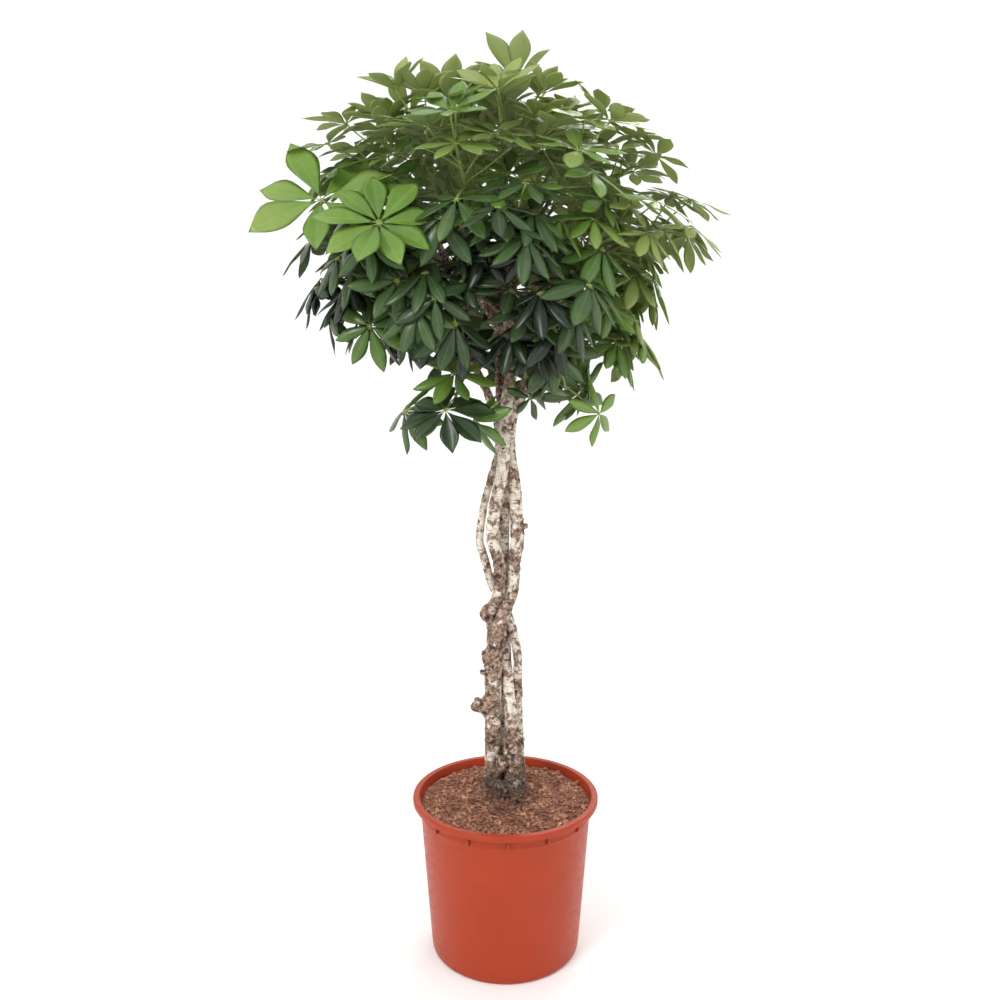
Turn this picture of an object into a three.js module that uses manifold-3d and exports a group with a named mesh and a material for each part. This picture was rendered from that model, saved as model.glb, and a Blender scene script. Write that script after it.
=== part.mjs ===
// A potted umbrella plant, grown as a braided standard. Four plants share one nursery pot, their bare stems are
// plaited into a trunk, and their shoots make one round crown of palmate leaves.
// Units are millimetres and +Z is up. The origin is the middle of the pot's foot, on the surface it stands on,
// and the front of the plant faces -Y. Bearings are degrees round +Z from +X, and slopes degrees above level.
import * as THREE from "three";
import { mergeVertices } from "three/addons/utils/BufferGeometryUtils.js";
import Module from "manifold-3d";

const wasm = await Module();
wasm.setup();

// ---- Driving dimensions -----------------------------------------------------------------------------

const GAP = 0.3; // between two pieces that touch on the real plant

const POT = {
  rimRadius: 145, // a 29 cm nursery pot
  height: 251,
  lipHeight: 9,
  lipWidth: 10,
  lipRounding: 2,
  bodyTopRadius: 134,
  footRadius: 116.5,
  footRounding: 6,
  wall: 2.4,
  floor: 3,
  sides: 42, // three to each rib, so that every rib stands on the middle of a side
};
const RIBS = { count: 14, width: 4.6, height: 15, proud: 4.2, firstBearing: -88.5 };
const DRAINS = { count: 6, radius: 6, circleRadius: 78, sides: 6 };
const SOIL = { edgeHeight: 239, middleHeight: 244, relief: 1.5, sides: 22, rings: 4, holeClearance: 0.5 };

const STEM_SIDES = 8;
const LIMB = { sides: 4, pieces: 2, startRadius: 5, endRadius: 3.7, handle: 0.36, parting: 0.65, wander: 0.16 };
const SHOOT = { sides: 4, startRadius: 3.3, endRadius: 1.9, firstLeaf: 0.3, lastLeaf: 0.985, youngAbove: 1180 };
const PETIOLE = {
  sides: 3,
  startRadius: 1.7,
  endRadius: 1.3,
  longest: 94, // on the lowest leaf of a shoot
  shortest: 54, // on the leaf at its tip
  widest: 78, // degrees off the shoot, again from the lowest leaf to the tip
  narrowest: 22,
};
const SPIRAL = { turn: 137.5, shootTurn: 67, swing: 20, lean: 10 }; // degrees, and the last two are strays
const LIGHT = { alongPetiole: 0.28, up: 0.58, outward: 0.28, stray: 0.2 }; // what a leaf turns its face to
const LEAFLET = {
  length: 68,
  halfWidth: { young: 13.4, old: 11.6 },
  widest: 0.6, // where along its length a leaflet is widest
  arch: { young: 5, old: 16 }, // how far the tip bends down from the leaflet's first direction
  cup: { young: 48, old: 100 }, // degrees between a leaflet and the way its leaf faces
  fold: 2.2, // how far the two sides are raised above the rib
  notch: 6.5, // the blade is cut this near to the petiole between two leaflets
  hubThickness: 3.6, // it thins from here to the tip and to both margins
  leastTurn: 0.55, // the cosine of the widest angle between a petiole and the way its leaf faces
};
const CLEARANCE = { blade: 2, rod: 1.2 };
const TRIES = { limb: 12, loneLeaf: 16, leaf: 30, fullSize: 8 };

// Each stem's way through the braid and out into the crown, as [height, x, y, radius].
const BRAID = {
  stem_left: [
    [150, 24, 10, 8], [245, 24, 10, 8], [330, 21.5, 12, 7.5], [402, 19, 8, 7.3], [467, 19, 2.5, 7.2],
    [505, 13, 5, 7], [530, 6, 8, 7], [555, -3, 9, 6.8], [580, -19, 9, 6.5], [624, -32, 4, 6.4],
    [655, -39, 2, 6], [700, -34, 6, 5.8], [747, -23, 8, 5.6], [790, -11, 6, 5.6], [840, -14, 5, 5.5], [885, -30, 4, 5.5],
    [950, -62, 2, 5.2], [1030, -80, 0, 4.6],
  ],
  stem_front: [
    [150, -5, 19, 10], [245, -5, 19, 11], [330, -8, 17, 10], [402, -7, 15, 9], [467, -19, 15, 9],
    [530, -20, 10, 9], [555, -17, -2, 8.6], [580, -10, -12, 8.4], [624, -10, -10, 9.3], [655, -20, -11, 9.3],
    [700, -17, -12, 9.6], [747, -8, -13, 9.5], [790, -2, -13.5, 9.4], [840, 0, -13, 9.2],
    [885, 4, -24, 9], [940, 14, -50, 8], [1040, 6, -72, 6],
  ],
  stem_right: [
    [150, -20, -5, 12.5], [245, -20, -5, 13.6], [330, -20, -6, 12.4], [402, -19, -6, 12.4], [467, -18, -9, 13],
    [530, -8, -13, 10.5], [555, 2, -11, 9], [580, 11, -2, 9.2], [624, 13, -3, 10], [655, 18, -4, 10.4],
    [700, 16, -3, 10], [747, 12.5, -1, 9.4], [790, 6, 6.5, 8.8], [840, 9, 7, 8.6], [885, 26, 6, 8.4],
    [945, 58, -2, 7.4], [1030, 84, -8, 5.6],
  ],
  stem_back: [
    [150, 11, -9, 12.5], [245, 11, -9, 13.6], [330, 12, -9, 12.4], [402, 7, -8, 9], [467, 1, 9, 8.4],
    [530, 1, 24, 8.6], [555, 5, 24.5, 8.6], [580, 0, 20, 9], [624, -2, 17, 9], [655, -3, 9, 8.8],
    [700, -2, 10, 8.4], [747, -3, 15, 8.2], [790, -6, 21.5, 8], [840, -6, 23, 7.8], [885, -8, 40, 7.4],
    [945, -8, 66, 6.8], [1040, -4, 80, 5.4],
  ],
};
const STEM_BEARINGS = { stem_right: 0, stem_back: 90, stem_left: 180, stem_front: 270 };

// Round swellings where twigs were cut off and healed over, and the stubs of twigs that were cut off later.
const KNOBS = [
  { stem: "stem_right", height: 400, bearing: 200, offset: 6, radius: 11 },
  { stem: "stem_right", height: 346, bearing: 265, offset: 7, radius: 9 },
  { stem: "stem_back", height: 338, bearing: 290, offset: 4, radius: 14 },
  { stem: "stem_front", height: 541, bearing: 215, offset: 9, radius: 10.5 },
  { stem: "stem_right", height: 476, bearing: 190, offset: 9, radius: 10 },
  { stem: "stem_front", height: 602, bearing: 275, offset: 3, radius: 9 },
];
const STUBS = [
  { stem: "stem_right", height: 388, bearing: 188, slope: 22, radius: 8.5, length: 33 },
  { stem: "stem_right", height: 450, bearing: 192, slope: 5, radius: 3.4, length: 21 },
  { stem: "stem_right", height: 672, bearing: 350, slope: 20, radius: 4.2, length: 16 },
  { stem: "stem_front", height: 905, bearing: 235, slope: 40, radius: 5.5, length: 20 },
];

// The crown's shoots stand in rings round its middle. A ring says how steeply its shoots' tips lie above that
// middle, how far out they are, how many there are and where the first one stands.
const CROWN = { middle: [-22, 0, 1104], outward: 0.86, upward: 0.36 };
const RINGS = [
  { name: "upper", slope: 48, reach: 174, count: 6, firstBearing: -20, length: 120, fork: 1024, leaves: 4 },
  { name: "middle", slope: 25, reach: 210, count: 7, firstBearing: 0, length: 130, fork: 1000, leaves: 4 },
  { name: "wide", slope: -2, reach: 208, count: 7, firstBearing: 22, length: 126, fork: 965, leaves: 4 },
  { name: "lower", slope: -27, reach: 204, count: 7, firstBearing: 42, length: 118, fork: 930, leaves: 3 },
];

// Shoots that stand out of the round: the young one on the left, and the low ones under the crown.
const LONE_SHOOTS = [
  { name: "young_left", stem: "stem_left", fork: 1000, tip: [-168, -118, 1062], length: 110, leaves: 2 },
  { name: "top_peak", stem: "stem_right", fork: 1022, tip: [14, -16, 1266], length: 112, leaves: 4 },
  { name: "top_left", stem: "stem_back", fork: 1032, tip: [-58, 12, 1250], length: 112, leaves: 4 },
  { name: "high_left", stem: "stem_left", fork: 1015, tip: [-192, -10, 1228], length: 120, leaves: 3 },
  { name: "far_left", stem: "stem_left", fork: 985, tip: [-226, -40, 1034], length: 120, leaves: 3 },
  { name: "far_right", stem: "stem_right", fork: 1005, tip: [226, -22, 1116], length: 130, leaves: 4 },
  { name: "low_left", stem: "stem_left", fork: 862, tip: [-74, -34, 868], length: 54, leaves: 1 },
  { name: "low_right", stem: "stem_right", fork: 872, tip: [88, -36, 882], length: 60, leaves: 1 },
  { name: "low_far_right", stem: "stem_right", fork: 915, tip: [150, 4, 950], length: 90, leaves: 3 },
  { name: "heart_front", stem: "stem_front", fork: 985, tip: [8, -150, 1085], length: 70, leaves: 4 },
  { name: "skirt_front", stem: "stem_front", fork: 925, tip: [46, -96, 968], length: 60, leaves: 3 },
  { name: "skirt_back", stem: "stem_back", fork: 900, tip: [52, 92, 944], length: 60, leaves: 2 },
  { name: "low_front", stem: "stem_front", fork: 880, tip: [14, -66, 880], length: 26, leaves: 0 },
];

// Single leaves that the front view shows by themselves: where the hub is, the way the leaf faces, how many
// degrees its leaflets stand off that way, how they are turned round it, its size and how many leaflets it has.
const LONE_LEAVES = [
  ["young_left", [-157, -212, 1091], [0.05, -0.8, 0.6], 82, 12, 1.16, 9],
  ["young_left", [-240, -140, 1130], [0, -0.78, 0.62], 84, 11, 1.5, 7],
  ["young_left", [-139, -178, 1024], [0.25, -0.85, 0.4], 88, 0, 0.9, 8],
  ["low_left", [-84, -98, 856], [-0.05, -0.6, 0.8], 108, 10, 1.05, 8],
  ["low_left", [-146, -44, 852], [-0.5, -0.6, 0.6], 112, 0, 1.0, 7],
  ["low_left", [-72, -62, 906], [0.1, -0.6, 0.8], 88, 30, 0.9, 7],
  ["lower_4", [-184, -110, 970], [-0.1, -0.93, 0.25], 94, 15, 0.9, 8],
  ["low_right", [64, -118, 936], [0.05, -0.85, 0.5], 96, 5, 0.95, 8],
  ["low_right", [134, -44, 848], [0.3, -0.8, 0.4], 98, 30, 0.78, 6],
  ["low_front", [-46, -72, 838], [0.1, -0.5, 0.85], 116, 20, 0.85, 6],
  ["low_front", [-4, -96, 868], [-0.3, -0.9, 0.1], 100, 40, 0.5, 5],
  ["low_front", [34, -84, 872], [0.5, -0.8, 0.2], 96, 10, 0.5, 5],
];

const COLOURS = { pot: 0xbc4a2c, soil: 0x7a5240, bark: 0xa39784, young: 0x5f9a35, leaf: 0x2f5a30 };

// ---- Seeded draws -----------------------------------------------------------------------------------

// A chain of numbers from 0 to 1, the same each time for the same shoot, leaf and try.
class Draws {
  constructor(shoot, leaf, attempt) {
    this.state = (1 + shoot * 7368787 + leaf * 1299709 + attempt * 104729) % 2147483647;
    this.next();
    this.next();
  }

  next() {
    this.state = (this.state * 48271) % 2147483647;
    return this.state / 2147483647;
  }

  between(low, high) {
    return low + (high - low) * this.next();
  }
}

// ---- Directions -------------------------------------------------------------------------------------

const UP = new THREE.Vector3(0, 0, 1);
const radians = THREE.MathUtils.degToRad;
const mix = THREE.MathUtils.lerp;

function vector([x, y, z]) {
  return new THREE.Vector3(x, y, z);
}

function pointing(bearing, slope) {
  const level = Math.cos(radians(slope));
  const [x, y] = [Math.cos(radians(bearing)), Math.sin(radians(bearing))];
  return new THREE.Vector3(level * x, level * y, Math.sin(radians(slope)));
}

// Two directions square to an axis and to each other.
function squareTo(axis) {
  const helper = Math.abs(axis.z) < 0.9 ? UP : new THREE.Vector3(1, 0, 0);
  const first = helper.clone().cross(axis).normalize();
  return [first, axis.clone().cross(first)];
}

function along(start, direction, distance) {
  return start.clone().addScaledVector(direction, distance);
}

// ---- Solids -----------------------------------------------------------------------------------------

function solidFrom(geometry) {
  geometry.deleteAttribute("normal");
  geometry.deleteAttribute("uv");
  const merged = mergeVertices(geometry, 1e-4);
  const vertProperties = new Float32Array(merged.attributes.position.array);
  const triVerts = new Uint32Array(merged.index.array);
  return new wasm.Manifold(new wasm.Mesh({ numProp: 3, vertProperties, triVerts }));
}

function meshFrom(solid, name, colour, roughness) {
  const { vertProperties, triVerts } = solid.getMesh();
  const geometry = new THREE.BufferGeometry();
  geometry.setAttribute("position", new THREE.BufferAttribute(vertProperties, 3));
  geometry.setIndex(new THREE.BufferAttribute(triVerts, 1));
  geometry.computeVertexNormals();
  const material = new THREE.MeshStandardMaterial({ color: colour, roughness, metalness: 0 });
  const mesh = new THREE.Mesh(geometry, material);
  mesh.name = name;
  return mesh;
}

function geometryFrom(points, triangles) {
  const geometry = new THREE.BufferGeometry();
  const flat = points.flatMap((point) => [point.x, point.y, point.z]);
  geometry.setAttribute("position", new THREE.Float32BufferAttribute(flat, 3));
  geometry.setIndex(triangles);
  return geometry;
}

// A round bar through a list of stations, each with a point, the way the bar runs there and its radius.
function barSolid(stations, sides) {
  const points = [];
  const triangles = [];
  let across = squareTo(stations[0].direction)[0];
  stations.forEach(({ point, direction, radius }) => {
    across = across.clone().addScaledVector(direction, -across.dot(direction)).normalize();
    const other = direction.clone().cross(across);
    for (let side = 0; side < sides; side++) {
      const angle = (2 * Math.PI * side) / sides;
      points.push(along(along(point, across, radius * Math.cos(angle)), other, radius * Math.sin(angle)));
    }
  });
  for (let ring = 0; ring + 1 < stations.length; ring++) {
    for (let side = 0; side < sides; side++) {
      const next = (side + 1) % sides;
      const [a, b] = [ring * sides + side, ring * sides + next];
      triangles.push(a, b, b + sides, a, b + sides, a + sides);
    }
  }
  const last = (stations.length - 1) * sides;
  for (let side = 1; side + 1 < sides; side++) {
    triangles.push(0, side + 1, side, last, last + side, last + side + 1);
  }
  return solidFrom(geometryFrom(points, triangles));
}

function straightBar(start, end, startRadius, endRadius, sides) {
  const direction = end.clone().sub(start).normalize();
  const low = { point: start, direction, radius: startRadius };
  const high = { point: end, direction, radius: endRadius };
  return barSolid([low, high], sides);
}

// ---- Pot and soil -----------------------------------------------------------------------------------

function wallRadius(height) {
  const bodyHeight = POT.height - POT.lipHeight;
  return mix(POT.footRadius, POT.bodyTopRadius, height / bodyHeight);
}

function arcPoints(centreX, centreY, radius, fromDegrees, toDegrees, pieces) {
  return Array.from({ length: pieces + 1 }, (_, index) => {
    const angle = radians(mix(fromDegrees, toDegrees, index / pieces));
    return new THREE.Vector2(centreX + radius * Math.cos(angle), centreY + radius * Math.sin(angle));
  });
}

function potSolid() {
  const { rimRadius, height, lipHeight, lipWidth, lipRounding, footRadius, footRounding, wall, floor } = POT;
  const underLip = height - lipHeight;
  const profile = [
    new THREE.Vector2(0, 0),
    ...arcPoints(footRadius - footRounding, footRounding, footRounding, -90, -4, 1),
    new THREE.Vector2(wallRadius(underLip), underLip),
    new THREE.Vector2(rimRadius - 1, underLip),
    ...arcPoints(rimRadius - lipRounding, height - lipRounding, lipRounding, 0, 90, 2),
    new THREE.Vector2(rimRadius - lipWidth, height),
    new THREE.Vector2(wallRadius(underLip) - wall, underLip - 1),
    new THREE.Vector2(wallRadius(floor) - wall, floor),
    new THREE.Vector2(0, floor),
  ];
  const firstSide = radians(RIBS.firstBearing + 90 - 180 / POT.sides);
  let solid = solidFrom(new THREE.LatheGeometry(profile, POT.sides, firstSide).rotateX(Math.PI / 2));
  for (let index = 0; index < RIBS.count; index++) {
    const bearing = radians(RIBS.firstBearing + (360 * index) / RIBS.count);
    const outer = POT.bodyTopRadius + RIBS.proud;
    const inner = wallRadius(underLip - RIBS.height) - wall / 2;
    const rib = new THREE.BoxGeometry(outer - inner, RIBS.width, RIBS.height + 1);
    rib.translate((outer + inner) / 2, 0, underLip - RIBS.height / 2 + 0.5);
    solid = solid.add(solidFrom(rib.rotateZ(bearing)));
  }
  for (let index = 0; index < DRAINS.count; index++) {
    const bearing = (2 * Math.PI * index) / DRAINS.count;
    const hole = new THREE.CylinderGeometry(DRAINS.radius, DRAINS.radius, 4 * floor, DRAINS.sides);
    hole.rotateX(Math.PI / 2).translate(DRAINS.circleRadius, 0, 0);
    solid = solid.subtract(solidFrom(hole.rotateZ(bearing)));
  }
  return solid;
}

// The radius that fits inside the flats of the pot's wall.
function soilRadius(height) {
  return (wallRadius(height) - POT.wall) * Math.cos(Math.PI / POT.sides) - GAP;
}

// The loose surface: higher in the middle than at the edge, with low mounds.
function soilHeight(x, y) {
  const edge = wallRadius(SOIL.edgeHeight) - POT.wall;
  const rise = (SOIL.middleHeight - SOIL.edgeHeight) * (1 - (x * x + y * y) / (edge * edge));
  const mounds = Math.sin(x / 17 + 1.3) * Math.cos(y / 21 - 0.4) + 0.5 * Math.sin((x + y) / 9);
  return SOIL.edgeHeight + rise + SOIL.relief * mounds;
}

function soilSolid() {
  const bottom = POT.floor + GAP;
  const edgeRadius = soilRadius(SOIL.edgeHeight);
  const profile = [new THREE.Vector2(0, bottom), new THREE.Vector2(soilRadius(bottom), bottom)];
  for (let ring = SOIL.rings; ring >= 0; ring--) {
    profile.push(new THREE.Vector2((edgeRadius * ring) / SOIL.rings, SOIL.edgeHeight));
  }
  const lathe = new THREE.LatheGeometry(profile, SOIL.sides).rotateX(Math.PI / 2);
  const places = lathe.attributes.position;
  for (let index = 0; index < places.count; index++) {
    const [x, y] = [places.getX(index), places.getY(index)];
    const inside = Math.hypot(x, y) < edgeRadius - 1;
    if (places.getZ(index) > bottom + 1 && inside) places.setZ(index, soilHeight(x, y));
  }
  let solid = solidFrom(lathe);
  for (const [[height, x, y], [, , , radius]] of Object.values(BRAID)) {
    const holeRadius = (radius + SOIL.holeClearance) / Math.cos(Math.PI / STEM_SIDES);
    const start = new THREE.Vector3(x, y, height - GAP);
    solid = solid.subtract(straightBar(start, along(start, UP, 200), holeRadius, holeRadius, STEM_SIDES));
  }
  return solid;
}

// ---- Stems ------------------------------------------------------------------------------------------

function stemStations(name) {
  const rows = BRAID[name];
  const points = rows.map(([height, x, y]) => new THREE.Vector3(x, y, height));
  return points.map((point, index) => {
    const before = points[Math.max(index - 1, 0)];
    const after = points[Math.min(index + 1, points.length - 1)];
    return { point, direction: after.clone().sub(before).normalize(), radius: rows[index][3] };
  });
}

// The middle of a stem at a height, with the direction and the radius it has there.
function stemAt(name, height) {
  const stations = stemStations(name);
  const above = Math.max(1, stations.findIndex(({ point }) => point.z >= height));
  const [low, high] = [stations[above - 1], stations[above]];
  const share = (height - low.point.z) / (high.point.z - low.point.z);
  return {
    point: low.point.clone().lerp(high.point, share),
    direction: low.direction.clone().lerp(high.direction, share).normalize(),
    radius: mix(low.radius, high.radius, share),
  };
}

function knobSolid({ stem, height, bearing, offset, radius }) {
  const centre = along(stemAt(stem, height).point, pointing(bearing, 0), offset);
  return solidFrom(new THREE.SphereGeometry(radius, 6, 4).translate(centre.x, centre.y, centre.z));
}

function stubSolid({ stem, height, bearing, slope, radius, length }) {
  const start = stemAt(stem, height).point;
  return straightBar(start, along(start, pointing(bearing, slope), length), radius * 1.15, radius, 6);
}

function stemSolid(name, shoots) {
  const onStem = ({ stem }) => stem === name;
  const additions = [
    ...KNOBS.filter(onStem).map(knobSolid),
    ...STUBS.filter(onStem).map(stubSolid),
    ...shoots.filter(onStem).map(({ limb }) => barSolid(limb, LIMB.sides)),
  ];
  return additions.reduce((solid, addition) => solid.add(addition), barSolid(stemStations(name), STEM_SIDES));
}

// ---- What is already placed -------------------------------------------------------------------------

// Rods (stems, limbs, shoots and petioles) and blades (leaflets as two triangles each) that later ones stay
// clear of.
const placed = { rods: [], leaves: [] };

function rodsAlong(stations, owner) {
  return stations.slice(1).map(({ point, radius }, index) => ({
    start: stations[index].point,
    end: point,
    radius: Math.max(radius, stations[index].radius),
    owner,
  }));
}

// The least distance between two stretches.
function stretchDistance(startA, endA, startB, endB) {
  const [alongA, alongB] = [endA.clone().sub(startA), endB.clone().sub(startB)];
  const between = startA.clone().sub(startB);
  const [aa, bb, ab] = [alongA.lengthSq(), alongB.lengthSq(), alongA.dot(alongB)];
  const [ar, br] = [alongA.dot(between), alongB.dot(between)];
  const slant = aa * bb - ab * ab;
  let shareA = slant > 1e-9 ? THREE.MathUtils.clamp((ab * br - ar * bb) / slant, 0, 1) : 0;
  const shareB = THREE.MathUtils.clamp((ab * shareA + br) / bb, 0, 1);
  shareA = THREE.MathUtils.clamp((ab * shareB - ar) / aa, 0, 1);
  return along(startA, alongA, shareA).distanceTo(along(startB, alongB, shareB));
}

function rodsClear(rod, others) {
  return others.every((other) => {
    const room = rod.radius + other.radius + CLEARANCE.rod;
    return stretchDistance(rod.start, rod.end, other.start, other.end) > room;
  });
}

// True where a stretch passes through a triangle.
function pierces(start, end, [a, b, c]) {
  const direction = end.clone().sub(start);
  const [edgeB, edgeC] = [b.clone().sub(a), c.clone().sub(a)];
  const cross = direction.clone().cross(edgeC);
  const slant = edgeB.dot(cross);
  if (Math.abs(slant) < 1e-9) return false;
  const offset = start.clone().sub(a);
  const shareB = offset.dot(cross) / slant;
  if (shareB < 0 || shareB > 1) return false;
  const turn = offset.cross(edgeB);
  const shareC = direction.dot(turn) / slant;
  if (shareC < 0 || shareB + shareC > 1) return false;
  const share = edgeC.dot(turn) / slant;
  return share >= 0 && share <= 1;
}

// The five lines that stand for a rod when it is held against a blade: its middle and four along its skin.
function rodLines({ start, end, radius }) {
  const [across, other] = squareTo(end.clone().sub(start).normalize());
  const reach = radius + CLEARANCE.rod;
  const shifts = [[0, 0], [reach, 0], [-reach, 0], [0, reach], [0, -reach]];
  return shifts.map(([a, b]) => {
    const shift = across.clone().multiplyScalar(a).addScaledVector(other, b);
    return [start.clone().add(shift), end.clone().add(shift)];
  });
}

function rodClearOfLeaf(rod, leaf) {
  if (stretchDistance(rod.start, rod.end, leaf.hub, along(leaf.hub, UP, 0.01)) > leaf.size + 12) return true;
  const lines = rodLines(rod);
  const room = rod.radius + CLEARANCE.rod;
  return leaf.leaflets.every(({ middle, tip, triangles }) =>
    stretchDistance(rod.start, rod.end, middle, tip) > room
      && triangles.every((triangle) => lines.every(([start, end]) => !pierces(start, end, triangle))));
}

function leafletsClear(leafletA, leafletB) {
  const room = leafletA.span + leafletB.span;
  if (leafletA.middle.distanceTo(leafletB.middle) > room) return true;
  const cuts = ({ lines }, { triangles }) =>
    lines.some(([start, end]) => triangles.some((triangle) => pierces(start, end, triangle)));
  return !cuts(leafletA, leafletB) && !cuts(leafletB, leafletA);
}

function leavesClear(leafA, leafB) {
  if (leafA.hub.distanceTo(leafB.hub) > leafA.size + leafB.size + 8) return true;
  return leafA.leaflets.every((a) => leafB.leaflets.every((b) => leafletsClear(a, b)));
}

// ---- Shoots and limbs -------------------------------------------------------------------------------

function stemFor(bearing) {
  return Object.entries(STEM_BEARINGS).find(([, middle]) => Math.cos(radians(bearing - middle)) > 0.7071)[0];
}

function ringShoots() {
  return RINGS.flatMap(({ name, slope, reach, count, firstBearing, length, fork, leaves }) =>
    Array.from({ length: count }, (_, index) => {
      const bearing = firstBearing + (360 * index) / count;
      const tip = along(vector(CROWN.middle), pointing(bearing, slope), reach);
      return { name: `${name}_${index + 1}`, stem: stemFor(bearing), fork, tip, length, leaves };
    }));
}

function loneShoots() {
  return LONE_SHOOTS.map((shoot) => ({ ...shoot, tip: vector(shoot.tip) }));
}

// A limb runs from its stem to the foot of its shoot. It is drawn again with another bend, and its shoot made
// shorter, until both are clear of what is already placed.
function limbStations(shoot, attempt) {
  const draws = new Draws(shoot.number, 0, attempt);
  const highest = BRAID[shoot.stem].at(-1)[0] - LIMB.startRadius;
  const fork = stemAt(shoot.stem, Math.min(highest, shoot.fork + draws.between(-14, 10) - 4 * attempt));
  const foot = along(shoot.foot, shoot.direction, -GAP);
  const handle = LIMB.handle * fork.point.distanceTo(foot);
  const toFoot = foot.clone().sub(fork.point).normalize();
  const leaving = fork.direction.clone().lerp(toFoot, LIMB.parting).normalize();
  const wander = () => handle * draws.between(-1, 1) * LIMB.wander * (1 + attempt);
  const bend = new THREE.Vector3(wander(), wander(), wander());
  const curve = new THREE.CubicBezierCurve3(
    fork.point,
    along(fork.point, leaving, handle).add(bend),
    along(foot, shoot.direction, -handle),
    foot,
  );
  return Array.from({ length: LIMB.pieces + 1 }, (_, index) => {
    const share = index / LIMB.pieces;
    const startRadius = Math.min(LIMB.startRadius, fork.radius * 0.85);
    return {
      point: curve.getPoint(share),
      direction: curve.getTangent(share),
      radius: mix(startRadius, LIMB.endRadius, share),
    };
  });
}

function placeShoot(shoot, number) {
  const outward = shoot.tip.clone().sub(vector(CROWN.middle)).normalize();
  shoot.number = number + 1;
  shoot.direction = outward.multiplyScalar(CROWN.outward).addScaledVector(UP, CROWN.upward).normalize();
  for (let attempt = 0; attempt < TRIES.limb; attempt++) {
    shoot.foot = along(shoot.tip, shoot.direction, -shoot.length * (1 - 0.05 * attempt));
    shoot.rod = { start: shoot.foot, end: shoot.tip, radius: SHOOT.startRadius, owner: shoot.name };
    shoot.limb = limbStations(shoot, attempt);
    const others = placed.rods.filter(({ owner }) => owner !== shoot.stem);
    const limb = rodsAlong(shoot.limb, shoot.stem);
    const clear = limb.every((rod) => rodsClear(rod, others)) && rodsClear(shoot.rod, placed.rods);
    if (clear || attempt + 1 === TRIES.limb) {
      placed.rods.push(...limb, shoot.rod);
      return;
    }
  }
}

// ---- Leaves -----------------------------------------------------------------------------------------

// Where each leaflet of a leaf runs, round the hub: its direction, the leaf's inner side there and its length.
function leafletFrames({ facing, spin, cup, count, length }, draws) {
  const [across, other] = squareTo(facing);
  const turns = Array.from({ length: count }, (_, index) => ({
    angle: radians(spin + (360 * index) / count + draws.between(-4, 4)),
    reach: length * draws.between(0.84, 1.06),
    cup: radians(cup + draws.between(-6, 6)),
  }));
  return turns.map((turn, index) => {
    const before = turns[(index + count - 1) % count].angle - (index === 0 ? 2 * Math.PI : 0);
    const after = turns[(index + 1) % count].angle + (index === count - 1 ? 2 * Math.PI : 0);
    const ray = across.clone().multiplyScalar(Math.cos(turn.angle));
    ray.addScaledVector(other, Math.sin(turn.angle));
    const side = facing.clone().cross(ray);
    const run = ray.clone().multiplyScalar(Math.sin(turn.cup)).addScaledVector(facing, Math.cos(turn.cup));
    const inner = facing.clone().multiplyScalar(Math.sin(turn.cup)).addScaledVector(ray, -Math.cos(turn.cup));
    const [roomBefore, roomAfter] = [(turn.angle - before) / 2, (after - turn.angle) / 2];
    return { ...turn, run, inner, side, roomBefore, roomAfter };
  });
}

// A leaf: its hub, and for each leaflet the notch before it, its two widest points and its tip.
function leafShape({ hub, facing, spin, cup, youth, count, length }, draws) {
  const halfWidth = mix(LEAFLET.halfWidth.old, LEAFLET.halfWidth.young, youth);
  const arch = mix(LEAFLET.arch.old, LEAFLET.arch.young, youth);
  const frames = leafletFrames({ facing, spin, cup, count, length }, draws);
  const leaflets = frames.map(({ run, inner, side, reach, cup: lean, roomBefore, roomAfter }) => {
    const scale = reach / LEAFLET.length;
    const belly = along(hub, run, reach * LEAFLET.widest);
    belly.addScaledVector(inner, LEAFLET.fold - arch * scale * LEAFLET.widest ** 2);
    const fromAxis = reach * LEAFLET.widest * Math.sin(lean);
    const width = (room) => Math.min(halfWidth * scale, 0.86 * fromAxis * Math.tan(room));
    const tip = along(along(hub, run, reach), inner, -arch * scale);
    const before = along(belly, side, -width(roomBefore));
    const after = along(belly, side, width(roomAfter));
    const middle = hub.clone().lerp(tip, 0.5);
    const triangles = [[hub, before, tip], [hub, tip, after]];
    const edges = [[hub, tip], [hub, before], [before, tip], [tip, after], [after, hub], [before, after]];
    const lines = [-CLEARANCE.blade, 0, CLEARANCE.blade].flatMap((shift) =>
      edges.map(([start, end]) => [along(start, inner, shift), along(end, inner, shift)]));
    const reaches = [hub, before, tip, after].map((point) => point.distanceTo(middle));
    const span = Math.max(...reaches) + CLEARANCE.blade;
    return { before, tip, after, inner, middle, span, triangles, lines };
  });
  const notches = frames.map((frame, index) => {
    const previous = frames[(index + count - 1) % count];
    const run = frame.run.clone().add(previous.run).normalize();
    return along(hub, run, LEAFLET.notch * (length / LEAFLET.length));
  });
  const size = Math.max(...leaflets.map(({ tip }) => tip.distanceTo(hub)));
  return { hub, facing, leaflets, notches, size };
}

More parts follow.
